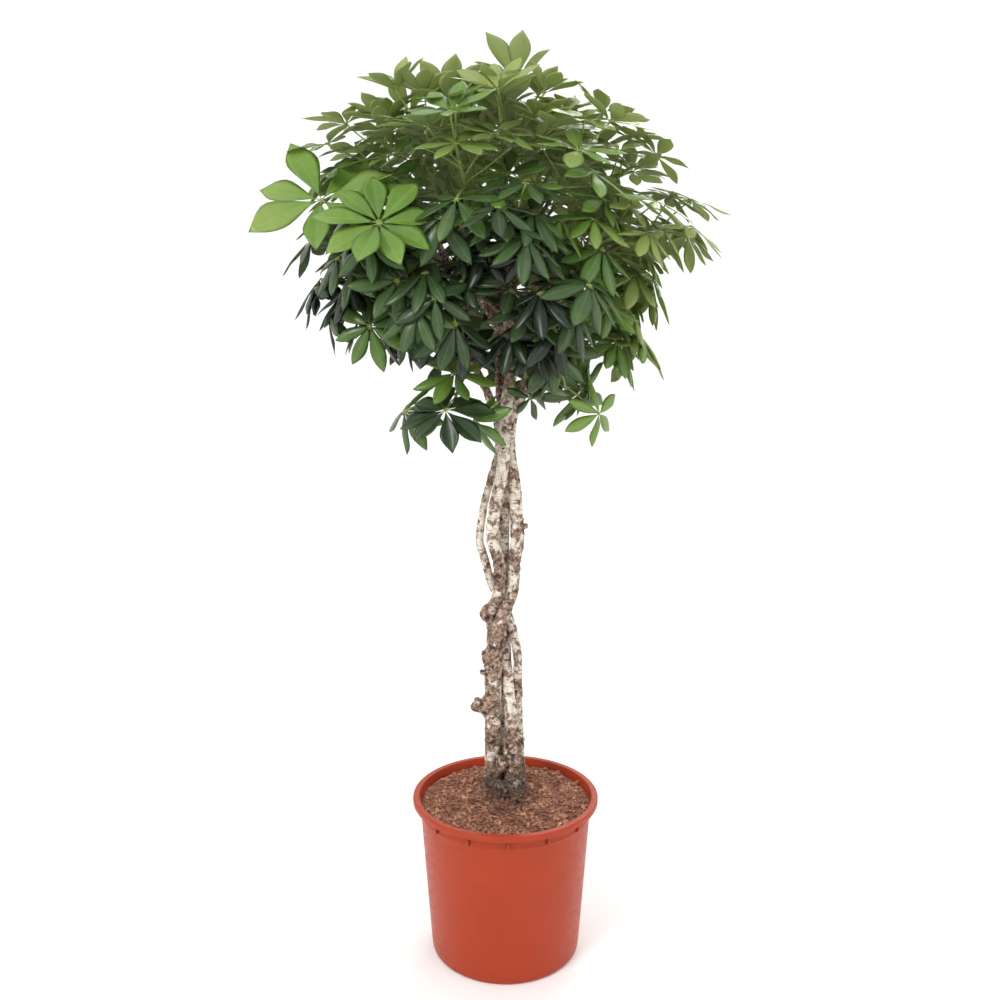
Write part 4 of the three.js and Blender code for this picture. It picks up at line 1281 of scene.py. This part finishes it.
LONE_LEAVES = (
    LoneLeaf("young_left", (-157, -212, 1091), (0.05, -0.8, 0.6), 82, 12, 1.16, 9, 0.54),
    LoneLeaf("young_left", (-240, -140, 1130), (0, -0.78, 0.62), 84, 11, 1.5, 7, 0.4),
    LoneLeaf("young_left", (-139, -178, 1024), (0.25, -0.85, 0.4), 88, 0, 0.9, 8, 0.3),
    LoneLeaf("low_left", (-84, -98, 856), (-0.05, -0.6, 0.8), 108, 10, 1.05, 8, 0.15),
    LoneLeaf("low_left", (-146, -44, 852), (-0.5, -0.6, 0.6), 112, 0, 1.0, 7, 0.3),
    LoneLeaf("low_left", (-72, -62, 906), (0.1, -0.6, 0.8), 88, 30, 0.9, 7, 0.34),
    LoneLeaf("lower_4", (-184, -110, 970), (-0.1, -0.93, 0.25), 94, 15, 0.9, 8, 0.12),
    LoneLeaf("low_right", (64, -118, 936), (0.05, -0.85, 0.5), 96, 5, 0.95, 8, 0.25),
    LoneLeaf("low_right", (134, -44, 848), (0.3, -0.8, 0.4), 98, 30, 0.78, 6, 0.55),
    LoneLeaf("low_front", (-46, -72, 838), (0.1, -0.5, 0.85), 116, 20, 0.85, 6, 0.3),
    LoneLeaf("low_front", (-4, -96, 868), (-0.3, -0.9, 0.1), 100, 40, 0.5, 5, 0.3),
    LoneLeaf("low_front", (34, -84, 872), (0.5, -0.8, 0.2), 96, 10, 0.5, 5, 0.3),
)


@dataclass(frozen=True)
class LeafletShape:
    """The sizes that a leaflet's form is drawn from."""

    length: float = 68.0
    young_half_width: float = 13.4
    old_half_width: float = 11.6
    young_arch: float = 5.0
    old_arch: float = 16.0
    young_cup: float = 48.0
    old_cup: float = 100.0
    fold: float = 2.2
    hub_thickness: float = 3.6
    least_turn: float = 0.55
    turn_gain: float = 1.3
    turn_stray: float = 4.0
    cup_stray: float = 6.0
    reach_spread: tuple[float, float] = (0.84, 1.06)
    stalk: float = 0.07
    old_fullness: float = 0.98
    young_fullness: float = 1.06
    lean_stray: float = 6.0
    old_belly: float = 1.16
    young_belly: float = 1.34
    old_tip: float = 0.66
    young_tip: float = 0.86
    old_taper: float = 0.16
    young_taper: float = 0.3
    wave: tuple[float, float] = (0.3, 1.3)
    bend: float = 6.0
    twist: float = 0.3
    arch_spread: tuple[float, float] = (0.75, 1.25)
    fold_spread: tuple[float, float] = (1.0, 2.3)
    fold_stray: float = 0.9
    rib_groove: float = 0.5
    thickness: float = 0.45
    rows: int = 10
    columns: int = 6


@dataclass(frozen=True)
class PetioleShape:
    """The sizes and angles of the stalks that carry the leaves."""

    longest: float = 94.0
    shortest: float = 54.0
    widest: float = 78.0
    narrowest: float = 22.0
    first_leaf: float = 0.3
    last_leaf: float = 0.985
    spiral_turn: float = 137.5
    shoot_turn: float = 67.0
    swing: float = 20.0
    lean: float = 10.0
    along: float = 0.28
    up: float = 0.58
    outward: float = 0.28
    stray: float = 0.2
    reach_spread: tuple[float, float] = (0.85, 1.12)
    cup_stray: float = 5.0
    leaflets: tuple[float, float] = (6.4, 8.7)
    length_spread: tuple[float, float] = (0.86, 1.1)
    shrink: float = 0.018
    youth_and_backlight_tone: float = 1.22
    sunny_side: float = 1.5
    sunny_edge: float = 0.42
    start_radius: float = 1.5
    end_radius: float = 1.0
    start_swell: float = 1.1
    end_swell: float = 0.9
    tries: int = 30
    full_size_tries: int = 8
    lone_tries: int = 16


# What the draws of a shoot's leaves are numbered from: the ring leaves start at 1.
LONE_LABEL = 50
FILLER_LABEL = 90


def turned_to(wish: np.ndarray, run: np.ndarray) -> np.ndarray:
    """The way a leaf faces: to the light, but not so far that its leaflets would meet its own petiole."""
    facing = unit(wish)
    short = LeafletShape.least_turn - facing.dot(run)
    return unit(facing + run * LeafletShape.turn_gain * short) if short > 0 else facing


@dataclass
class Leaf:
    """One palmate leaf: where it starts, its hub, how it faces and how its leaflets stand."""

    start: np.ndarray
    hub: np.ndarray
    facing: np.ndarray
    spin: float
    cup: float
    youth: float
    tone: float
    count: int
    length: float
    draws: Draws
    shape: LeafletShape = LeafletShape()

    def top(self) -> np.ndarray:
        """The point over the hub where the leaflets' upper sides meet."""
        return self.hub + self.facing * self.shape.hub_thickness / 2

    def frames(self) -> list[dict[str, np.ndarray | float]]:
        """How each leaflet stands round the hub: its directions, its length and its width on either side."""
        across, other = square_to(self.facing)
        turns = []
        for index in range(self.count):
            stray = self.draws.between(-self.shape.turn_stray, self.shape.turn_stray)
            angle = math.radians(self.spin + 360 * index / self.count + stray)
            reach = self.length * self.draws.between(*self.shape.reach_spread)
            cup = self.cup + self.draws.between(-self.shape.cup_stray, self.shape.cup_stray)
            turns.append((angle, reach, math.radians(cup)))
        frames = []
        for angle, reach, lean in turns:
            ray = across * math.cos(angle) + other * math.sin(angle)
            frames.append({
                "reach": reach,
                "side": np.cross(self.facing, ray),
                "run": ray * math.sin(lean) + self.facing * math.cos(lean),
                "inner": self.facing * math.sin(lean) - ray * math.cos(lean),
                "half_width": mix(self.shape.old_half_width, self.shape.young_half_width, self.youth)
                * reach / self.shape.length,
            })
        return frames


def drawn_leaf(shoot: Shoot, index: int, label: int, share: float, attempt: int,
               petiole: PetioleShape) -> Leaf:
    """Draw one leaf of a shoot's spiral.

    Args:
        shoot: the shoot that it grows on.
        index: its place in the spiral.
        label: the number that starts its draws.
        share: how far along the shoot it stands.
        attempt: which try this is.
        petiole: the sizes of the stalks.

    Returns:
        The leaf as this try gives it.
    """
    draws = Draws(shoot.number, label, attempt)
    start = mix(shoot.foot, shoot.tip, mix(petiole.first_leaf, petiole.last_leaf, share))
    across, other = square_to(shoot.direction)
    loose = 1 + attempt / 6
    swing = math.radians(petiole.spiral_turn * index + petiole.shoot_turn * shoot.number
                         + draws.between(-petiole.swing, petiole.swing) * loose)
    lean = math.radians(mix(petiole.widest, petiole.narrowest, share)
                        + draws.between(-petiole.lean, petiole.lean) * loose)
    shrink = 1 - petiole.shrink * max(0, attempt - petiole.full_size_tries)
    reach = mix(petiole.longest, petiole.shortest, share) * draws.between(*petiole.reach_spread) * shrink
    run = (shoot.direction * math.cos(lean) + across * math.sin(lean) * math.cos(swing)
           + other * math.sin(lean) * math.sin(swing))
    hub = start + run * reach
    outward = unit(hub - CROWN_MIDDLE)
    facing = run * petiole.along + UP * petiole.up + outward * petiole.outward
    facing = facing + np.array([draws.between(-petiole.stray, petiole.stray) for _ in range(3)])
    youth = min(1.0, max(0.0, (outward[2] + 0.1) * 0.95))
    shape = LeafletShape()
    spin = draws.between(0, 360)
    cup = mix(shape.old_cup, shape.young_cup, youth) + draws.between(-petiole.cup_stray, petiole.cup_stray)
    count = math.floor(draws.between(*petiole.leaflets)) - (1 if share < 0.2 else 0)
    length = shape.length * draws.between(*petiole.length_spread) * shrink
    # The tone is the leaf's age with painted light added: lighter still for leaves turned up into the
    # backlight, and on the crown's sunny +X side.
    tone = petiole.youth_and_backlight_tone * youth + petiole.sunny_side * max(0.0, outward[0] - petiole.sunny_edge)
    return Leaf(start, hub, turned_to(facing, run), spin, cup, youth, tone, count, length, draws)


def drawn_lone_leaf(lone: LoneLeaf, shoot: Shoot, grown: int, attempt: int) -> Leaf:
    """Draw a leaf that the front view shows by itself.

    Args:
        lone: where it is and how it stands.
        shoot: the shoot that it grows on.
        grown: how many leaves the shoot has before it.
        attempt: which try this is.

    Returns:
        The leaf as this try gives it.
    """
    draws = Draws(shoot.number, LONE_LABEL + grown, attempt)
    start = mix(shoot.foot, shoot.tip, 0.97 - 0.14 * grown)
    hub = np.array(lone.hub, dtype=float)
    facing = turned_to(unit(np.array(lone.facing, dtype=float)), unit(hub - start))
    length = LeafletShape.length * lone.size * (1 - 0.02 * attempt)
    youth = 1.0 if lone.size > 1 else 0.0
    spin = lone.spin + 7 * attempt
    return Leaf(start, hub, facing, spin, lone.cup, youth, lone.tone, lone.count, length, draws)


@dataclass
class Foliage:
    """The leafy shoots: finds each one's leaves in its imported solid, and builds them with curved blades."""

    petiole: PetioleShape = field(default_factory=PetioleShape)
    leaflet: LeafletShape = field(default_factory=LeafletShape)
    petiole_sag: float = 0.04
    spread_cup: float = 75.0
    fillers: int = 6
    open_above: float = 1210.0
    fewer_above: int = 2
    filler_tries: int = 5
    filler_turns: int = 7
    filler_reach: float = 0.86
    filler_lift: float = 0.45
    filler_cup: float = 7.0
    filler_size: float = 0.92
    hub_room: float = 27.0

    def place(self, shoot: Shoot, node: PackedNode) -> None:
        """Find the try that the shoot was placed by."""
        across, other = square_to(shoot.direction)
        for attempt in range(LimbShape.tries):
            shoot.attempt = attempt
            corners = [shoot.foot + SHOOT_RADIUS * way for way in (across, other, -across, -other)]
            if sum(node.has(corner) for corner in corners) >= 3:
                return
        LOG.warning("%s: no try matches its packed solid", shoot.name)
        shoot.attempt = 0

    def leaves_of(self, shoot: Shoot, node: PackedNode) -> list[Leaf]:
        """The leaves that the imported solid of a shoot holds.

        Args:
            shoot: the shoot.
            node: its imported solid.

        Returns:
            Its leaves, the lone ones first.
        """
        found: list[Leaf] = []
        for lone in (lone for lone in LONE_LEAVES if lone.shoot == shoot.name):
            for attempt in range(self.petiole.lone_tries):
                leaf = drawn_lone_leaf(lone, shoot, len(found), attempt)
                if node.has(leaf.top()) and node.has(self.first_tip(lone, shoot, len(found), attempt)):
                    found.append(leaf)
                    break
        for index in range(shoot.leaves - 1, -1, -1):
            share = index / (shoot.leaves - 1) if shoot.leaves > 1 else 1.0
            for attempt in range(self.petiole.tries):
                leaf = drawn_leaf(shoot, index, index + 1, share, attempt, self.petiole)
                if node.has(leaf.top()):
                    found.append(leaf)
                    break
        return found

    def first_tip(self, lone: LoneLeaf, shoot: Shoot, grown: int, attempt: int) -> np.ndarray:
        """Where the first leaflet of a lone leaf ends in one try."""
        leaf = drawn_lone_leaf(lone, shoot, grown, attempt)
        first = leaf.frames()[0]
        arch = mix(self.leaflet.old_arch, self.leaflet.young_arch, leaf.youth)
        bow = arch * first["reach"] / self.leaflet.length
        return leaf.hub + first["run"] * first["reach"] - first["inner"] * bow

    def filler_leaves(self, shoot: Shoot, hubs: list[np.ndarray]) -> list[Leaf]:
        """Leaves further in on a shoot, which close the crown behind its outer ones.

        Args:
            shoot: the shoot.
            hubs: the hubs of all leaves so far, to which these leaves' hubs are added.

        Returns:
            The leaves that found room.
        """
        fillers = []
        wanted = self.fillers - (self.fewer_above if shoot.tip[2] > self.open_above else 0)
        for index in range(wanted if shoot.leaves > 1 else 0):
            share = (index + 0.5) / wanted
            for attempt in range(self.filler_tries):
                leaf = drawn_leaf(shoot, index + self.filler_turns, FILLER_LABEL + index, share, attempt,
                                  self.petiole)
                leaf.hub = mix(leaf.start, leaf.hub, self.filler_reach)
                leaf.facing = unit(leaf.facing + self.filler_lift * UP)
                leaf.cup += self.filler_cup
                leaf.length *= self.filler_size
                if min(float(np.linalg.norm(leaf.hub - hub)) for hub in hubs) > self.hub_room:
                    fillers.append(leaf)
                    hubs.append(leaf.hub)
                    break
        return fillers

    def blade_rows(self) -> tuple[np.ndarray, np.ndarray, list[tuple[int, ...]], list[int]]:
        """How a leaflet's grid is laid.

        Returns:
            The share along and the share across of each point, the faces and each face's slot. The upper and
            lower sheets share the points of the margin, so the blade is closed.
        """
        rows, columns = self.leaflet.rows, self.leaflet.columns
        upper = np.arange((rows + 1) * (columns + 1)).reshape(rows + 1, columns + 1)
        lower = upper.copy()
        lower[1:-1, 1:-1] = upper.size + np.arange((rows - 1) * (columns - 1)).reshape(rows - 1, columns - 1)
        along = np.repeat(np.linspace(0, 1, rows + 1), columns + 1)
        across = np.tile(np.linspace(-1, 1, columns + 1), rows + 1)
        inner = (slice(1, -1), slice(1, -1))
        along = np.append(along, along.reshape(upper.shape)[inner].ravel())
        across = np.append(across, across.reshape(upper.shape)[inner].ravel())
        faces, slots = [], []
        for row in range(rows):
            for column in range(columns):
                for sheet, slot in ((upper, Slot.UPPER), (lower, Slot.LOWER)):
                    ring = (sheet[row, column], sheet[row, column + 1], sheet[row + 1, column + 1],
                            sheet[row + 1, column])
                    turned = ring if slot is Slot.UPPER else (ring[0], ring[3], ring[2], ring[1])
                    faces.append(tuple(int(corner) for corner in turned))
                    slots.append(int(slot))
        return along, across, faces, slots

    def add_petiole(self, surface: Surface, leaf: Leaf) -> None:
        """Add the leaf's petiole, which bows up under a spread leaf and down under a cupped one."""
        shares = np.linspace(0, 1, 9)[:, None]
        sag = UP * float(np.linalg.norm(leaf.hub - leaf.start)) * self.petiole_sag
        bow = 1 if leaf.cup > self.spread_cup else -0.6
        line = mix(leaf.start, leaf.hub, shares) + sag * (4 * shares * (1 - shares)) * bow
        radii = mix(self.petiole.start_radius, self.petiole.end_radius, shares[:, 0])
        radii[0] += self.petiole.start_swell
        radii[-1] += self.petiole.end_swell
        points, faces = tube(line, radii, 7)
        surface.append(points, faces, int(Slot.STALK), youth=leaf.tone, tint=0.0)

    def add_leaf(self, surface: Surface, leaf: Leaf) -> None:
        """Add one leaf: its petiole, and each leaflet's blade and little stalk."""
        sizes = self.leaflet
        self.add_petiole(surface, leaf)
        along, across, faces, slots = self.blade_rows()
        belly = mix(sizes.old_belly, sizes.young_belly, leaf.youth)
        tip = mix(sizes.old_tip, sizes.young_tip, leaf.youth)
        taper = mix(sizes.old_taper, sizes.young_taper, leaf.youth)
        swell = np.maximum(0.03, np.sin(math.pi * np.minimum(along, 0.999) ** belly))
        wide = swell ** (tip + taper * along)
        spine = sizes.stalk + (1 - sizes.stalk) * along
        sheet = np.ones(len(along))
        sheet[(sizes.rows + 1) * (sizes.columns + 1):] = -1
        margin = (np.abs(across) > 0.999) | (along < 0.001) | (along > 0.999)
        thickness = np.where(margin, 0, sheet * sizes.thickness / 2)
        leaf_tone = leaf.draws.next()
        fullness = mix(sizes.old_fullness, sizes.young_fullness, leaf.youth)
        arch_full = mix(sizes.old_arch, sizes.young_arch, leaf.youth)
        for stand in leaf.frames():
            reach = stand["reach"]
            scale = reach / sizes.length
            wave, phase = leaf.draws.between(*sizes.wave) * scale, leaf.draws.between(0, 2 * math.pi)
            bend = leaf.draws.between(-sizes.bend, sizes.bend) * scale
            twist = leaf.draws.between(-sizes.twist, sizes.twist)
            arch = arch_full * scale * leaf.draws.between(*sizes.arch_spread)
            fold = sizes.fold * mix(-1.0, 1.0, leaf.youth) * leaf.draws.between(*sizes.fold_spread)
            fold += sizes.fold_stray * leaf.draws.between(-1, 1)
            tone = 0.75 * leaf_tone + 0.25 * leaf.draws.next()
            stray = math.radians(leaf.draws.between(-sizes.lean_stray, sizes.lean_stray))
            run = stand["run"] * math.cos(stray) + stand["inner"] * math.sin(stray)
            inner = stand["inner"] * math.cos(stray) - stand["run"] * math.sin(stray)
            half = stand["half_width"] * fullness * wide
            # The blade is folded along its rib and arched, then waved, thickened, twisted and grooved.
            lift = fold * wide * np.abs(across) ** (1.4 if fold > 0 else 2.0) - arch * spine ** 2
            lift += wave * np.sin(along * 8 + phase) * across ** 2 * wide * 1.5
            lift += thickness
            lift += half * across * twist * along
            lift -= sizes.rib_groove * (1 - np.abs(across)) ** 6 * wide
            points = (leaf.hub + np.outer(reach * spine, run) + np.outer(lift, inner)
                      + np.outer(half * across + bend * spine ** 2, stand["side"]))
            grid = np.column_stack([half * across, reach * spine])
            surface.append(points, faces, slots, grid, youth=leaf.tone, tint=tone)
            stem_shares = np.array([0.0, sizes.stalk * 0.5, sizes.stalk + 0.02])
            stalk = leaf.hub + np.outer(reach * stem_shares, run)
            points, stalk_faces = tube(stalk, [1.0, 0.75, 0.7], 5)
            surface.append(points, stalk_faces, int(Slot.STALK), youth=leaf.tone, tint=0.0)

    def add_twig(self, surface: Surface, shoot: Shoot) -> None:
        """Add the shoot's own stem, ringed by old leaf scars, turning to wood at its foot."""
        shares, sides = np.linspace(0, 1, 25), 12
        line = mix(shoot.foot, shoot.tip, shares[:, None])
        scars = 1 + 0.09 * np.sin(shares * 50) ** 4
        points, faces = tube(line, mix(SHOOT_RADIUS - 0.1, 1.9, shares) * scars, sides)
        wood = np.repeat(np.clip(1 - shares * 1.3, 0, 1), sides)
        surface.append(points, faces, int(Slot.STALK), youth=0.5, tint=wood)

    def build(self, shoots: list[Shoot]) -> list[tuple[str, bpy.types.Object]]:
        """Build every leafy shoot.

        Args:
            shoots: the plant's shoots, whose tries are found here.

        Returns:
            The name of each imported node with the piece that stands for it.
        """
        finishes = [finish.value.material() for finish in LeafFinish]
        grown = {}
        for shoot in shoots:
            node = PackedNode(f"shoot_{shoot.name}")
            self.place(shoot, node)
            grown[shoot.name] = self.leaves_of(shoot, node)
        hubs = [leaf.hub for leaves in grown.values() for leaf in leaves]
        LOG.info("%d leaves found in the packed solids", len(hubs))
        built = []
        for shoot in shoots:
            surface = Surface()
            self.add_twig(surface, shoot)
            for leaf in [*grown[shoot.name], *self.filler_leaves(shoot, hubs)]:
                self.add_leaf(surface, leaf)
            built.append((f"shoot_{shoot.name}", surface.piece(f"shoot_{shoot.name}_leafy", finishes)))
        LOG.info("%d leaves built", len(hubs))
        return built


# ---- The trunk -------------------------------------------------------------------------------------------


@dataclass
class Trunk:
    """The four braided stems, each with its limbs, knobs and stubs grown into one skin of bark."""

    limb: LimbShape = field(default_factory=LimbShape)
    sides: int = 20
    grain: float = 1.4
    blend: float = 9.0
    soil_line: float = 318.0
    crown_line: float = 850.0
    foot_flare: float = 0.2
    flare_height: float = 244.0
    flare_spread: float = 24.0
    stub_places: tuple[float, ...] = (0, 0.25, 0.5, 0.7, 0.85, 0.96, 1)
    stub_swell: tuple[float, ...] = (1.8, 1.5, 1.25, 1.2, 1.3, 1.05, 0.5)
    cork_brown: float = 0.1
    knob_brown: float = 0.11
    cream_bias: float = 0.015
    hollow_shade: float = 0.85
    knob_swell: float = 1.22
    knob_height: float = 1.4

    def parts_of(self, name: str, shoots: list[Shoot]) -> Surface:
        """The closed bars and swellings that a stem is made of, before they are grown together."""
        surface = Surface()
        rows = smooth_line(np.array(BRAID[name], dtype=float), 6)
        flare = 1 + self.foot_flare * np.exp(-((rows[:, 0] - self.flare_height) / self.flare_spread) ** 2)
        surface.append(*tube(rows[:, [1, 2, 0]], rows[:, 3] * flare, self.sides))
        for shoot in (shoot for shoot in shoots if shoot.stem == name):
            surface.append(*tube(*shoot.limb(self.limb, 12), 12))
        for stub in (stub for stub in STUBS if stub.stem == name):
            start = stem_at(name, stub.height)[0]
            places = np.array(self.stub_places) * (stub.length + 1)
            line = start + np.outer(places, pointing(stub.bearing, stub.slope))
            surface.append(*tube(line, stub.radius * np.array(self.stub_swell), 12))
        for knob in (knob for knob in (*KNOBS, *BURLS) if knob.stem == name):
            centre = stem_at(name, knob.height)[0] + pointing(knob.bearing, 0) * knob.offset
            turns = np.linspace(-math.pi / 2 + 0.15, math.pi / 2 - 0.15, 9)
            line = centre + np.outer(self.knob_height * knob.radius * np.sin(turns), UP)
            surface.append(*tube(line, self.knob_swell * knob.radius * np.cos(turns), 16))
        return surface

    def wear(self, name: str, points: np.ndarray) -> tuple[np.ndarray, np.ndarray]:
        """How far the bark has flaked at each point of a stem.

        Args:
            name: the stem.
            points: places on it, in millimetres.

        Returns:
            How brown each point is beyond the middle, and how knobbly it is, from 0 to 1.
        """
        height = points[:, 2]
        foot = np.clip((self.soil_line - height) / 20, 0, 1)
        crown = np.clip((height - self.crown_line) / 60, 0, 1)
        brown = self.cork_brown * foot + self.cork_brown * crown - self.cream_bias
        knobbed = 0.8 * foot
        for stretch in (stretch for stretch in WEATHERING if stretch.stem == name):
            inside = np.clip(np.minimum(height - stretch.low, stretch.high - height) / self.blend + 0.5, 0, 1)
            brown += stretch.brown * inside
            knobbed = np.maximum(knobbed, stretch.burr * inside)
        for mark in (mark for mark in (*KNOBS, *BURLS, *STUBS) if mark.stem == name):
            way, reach = mark.rough()
            away = np.linalg.norm(points - stem_at(name, mark.height)[0] - way, axis=1)
            knobbed = np.maximum(knobbed, np.clip(1.6 - away / reach, 0, 1))
        return np.maximum(brown, self.knob_brown * knobbed), knobbed

    @staticmethod
    def relief(point: np.ndarray, brown: float, knobbed: float) -> float:
        """How far the bark stands out at a point: lumps, cross ridges, and burrs on the knobs."""
        x, y, z = point
        cork = min(1.0, max(0.0, 0.35 + 6 * brown))
        lumps = (0.6 + 1.0 * cork) * noise.noise(Vector((x / 11, y / 11, z / 15)))
        flakes = (0.3 + 0.6 * cork + 0.8 * knobbed) * grain(point, 3.6)
        ridges = 0.45 * noise.noise(Vector((x / 28, y / 28, z / 5.2)))
        burrs = 2.6 * knobbed * grain(point, 7.5)
        return lumps + flakes + ridges + burrs

    def build(self, name: str, shoots: list[Shoot], finish: bpy.types.Material) -> bpy.types.Object:
        """Build one stem.

        Args:
            name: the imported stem.
            shoots: the plant's shoots, for the limbs that carry them.
            finish: the bark.

        Returns:
            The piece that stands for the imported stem.
        """
        made = self.parts_of(name, shoots).piece(f"{name}_bark", [finish])
        change = made.modifiers.new("grown together", "REMESH")
        change.mode, change.voxel_size, change.use_smooth_shade = "VOXEL", self.grain * MM, True
        soften = made.modifiers.new("softened", "SMOOTH")
        soften.factor, soften.iterations = 0.5, 3
        apply_modifiers(made)
        mesh = made.data
        points = np.empty(len(mesh.vertices) * 3, dtype=np.float32)
        mesh.vertices.foreach_get("co", points)
        points = points.reshape(-1, 3) / MM
        normals = np.empty(len(mesh.vertices) * 3, dtype=np.float32)
        mesh.vertices.foreach_get("normal", normals)
        brown, knobbed = self.wear(name, points)
        relief = np.array([self.relief(*row) for row in zip(points, brown, knobbed)])
        points += normals.reshape(-1, 3) * relief[:, None]
        mesh.vertices.foreach_set("co", (points * MM).astype(np.float32).ravel())
        soiled = 0.42 * np.clip((self.soil_line - points[:, 2]) / 30, 0, 1)
        # Painted shade: how dark the bark is painted where its relief sinks in, more on the brown cork.
        sunk = self.hollow_shade * np.clip((-0.15 - relief) / 1.1, 0, 1) * np.clip(0.35 + 6 * brown, 0.1, 1)
        for label, values in (("worn", brown), ("soiled", soiled), ("sunk", sunk)):
            mesh.attributes.new(label, "FLOAT", "POINT").data.foreach_set("value", values.astype(np.float32))
        mesh.materials.clear()
        mesh.materials.append(finish)
        mesh.polygons.foreach_set("use_smooth", np.full(len(mesh.polygons), True))
        mesh.update()
        return made


# ---- The studio --------------------------------------------------------------------------------------


@dataclass(frozen=True)
class Lamp:
    """One soft round light: its name, its place and width in metres, and its watts."""

    name: str
    place: tuple[float, float, float]
    width: float
    power: float

    def build(self, target: Vector) -> None:
        """Add the light, turned to face a target."""
        data = bpy.data.lights.new(self.name, "AREA")
        data.shape, data.size, data.energy = "DISK", self.width, self.power
        lamp = bpy.data.objects.new(self.name, data)
        bpy.context.collection.objects.link(lamp)
        lamp.location = self.place
        lamp.rotation_mode = "QUATERNION"
        lamp.rotation_quaternion = (target - Vector(self.place)).to_track_quat("-Z", "Y")


LAMPS = (
    Lamp("key_light", (-1.5, -1.9, 2.3), 1.1, 38),
    Lamp("fill_light", (1.9, -1.3, 1.5), 1.6, 10),
    Lamp("rim_light", (0.6, 1.9, 2.4), 1.6, 22),
)


@dataclass
class Studio:
    """A plain pale floor that curves up all round, soft light, and the camera where the photograph's was.

    Its own sizes and places are metres.
    """

    camera_place: tuple[float, float, float] = (-0.0085, -1.414, 0.922)
    camera_pitch: float = 8.28
    lens: float = 34.16
    sensor: float = 36.0
    floor_radius: float = 2.6
    cove: float = 1.0
    wall_top: float = 3.6
    floor_sides: int = 96
    lit_height: float = 0.8
    sky_strength: float = 1.0

    def build_floor(self) -> bpy.types.Object:
        """Build the floor.

        Returns:
            The floor, which isn't part of the plant.
        """
        turns = np.linspace(0, math.pi / 2, 10)
        rows = [(self.floor_radius / 2, 0.0)]
        rows += [(self.floor_radius + self.cove * math.sin(turn), self.cove * (1 - math.cos(turn)))
                 for turn in turns]
        rows.append((self.floor_radius + self.cove, self.wall_top))
        sides = self.floor_sides
        points = [(0.0, 0.0, 0.0)]
        for radius, height in rows:
            points.extend(level_ring(radius, height, sides))
        faces = turned_faces(len(rows), sides, from_above=True, closed=False)
        surface = Surface()
        surface.append(np.array(points) / MM, faces)
        return surface.piece("studio_floor", [PaintedFloor().material()])

    def build(self) -> None:
        """Build the floor, the lights, the sky and the camera."""
        self.build_floor()
        for lamp in LAMPS:
            lamp.build(Vector((0, 0, self.lit_height)))
        world = bpy.data.worlds.new("soft_sky")
        world.use_nodes = True
        sky = world.node_tree.nodes["Background"]
        sky.inputs[0].default_value = (1.0, 1.0, 1.0, 1.0)
        sky.inputs[1].default_value = self.sky_strength
        bpy.context.scene.world = world
        bpy.context.scene.view_settings.view_transform = "Standard"
        data = bpy.data.cameras.new("photograph_view")
        data.lens, data.sensor_width, data.clip_start, data.clip_end = self.lens, self.sensor, 0.05, 50
        camera = bpy.data.objects.new("photograph_view", data)
        bpy.context.collection.objects.link(camera)
        camera.location = self.camera_place
        camera.rotation_euler = (math.radians(90 - self.camera_pitch), 0, 0)
        bpy.context.scene.camera = camera


def main() -> None:
    """Build the plant from the pot up, then the studio round it."""
    logging.basicConfig(level=logging.INFO, format="%(name)s: %(message)s")
    pot = Pot()
    packed("pot", pot.build())
    packed("soil", Soil(pot).build())
    shoots = all_shoots()
    for name, piece in Foliage().build(shoots):
        packed(name, piece)
    bark = PeelingBark().material()
    trunk = Trunk()
    for name in BRAID:
        packed(name, trunk.build(name, shoots, bark))
    Studio().build()


if __name__ == "__main__":
    main()
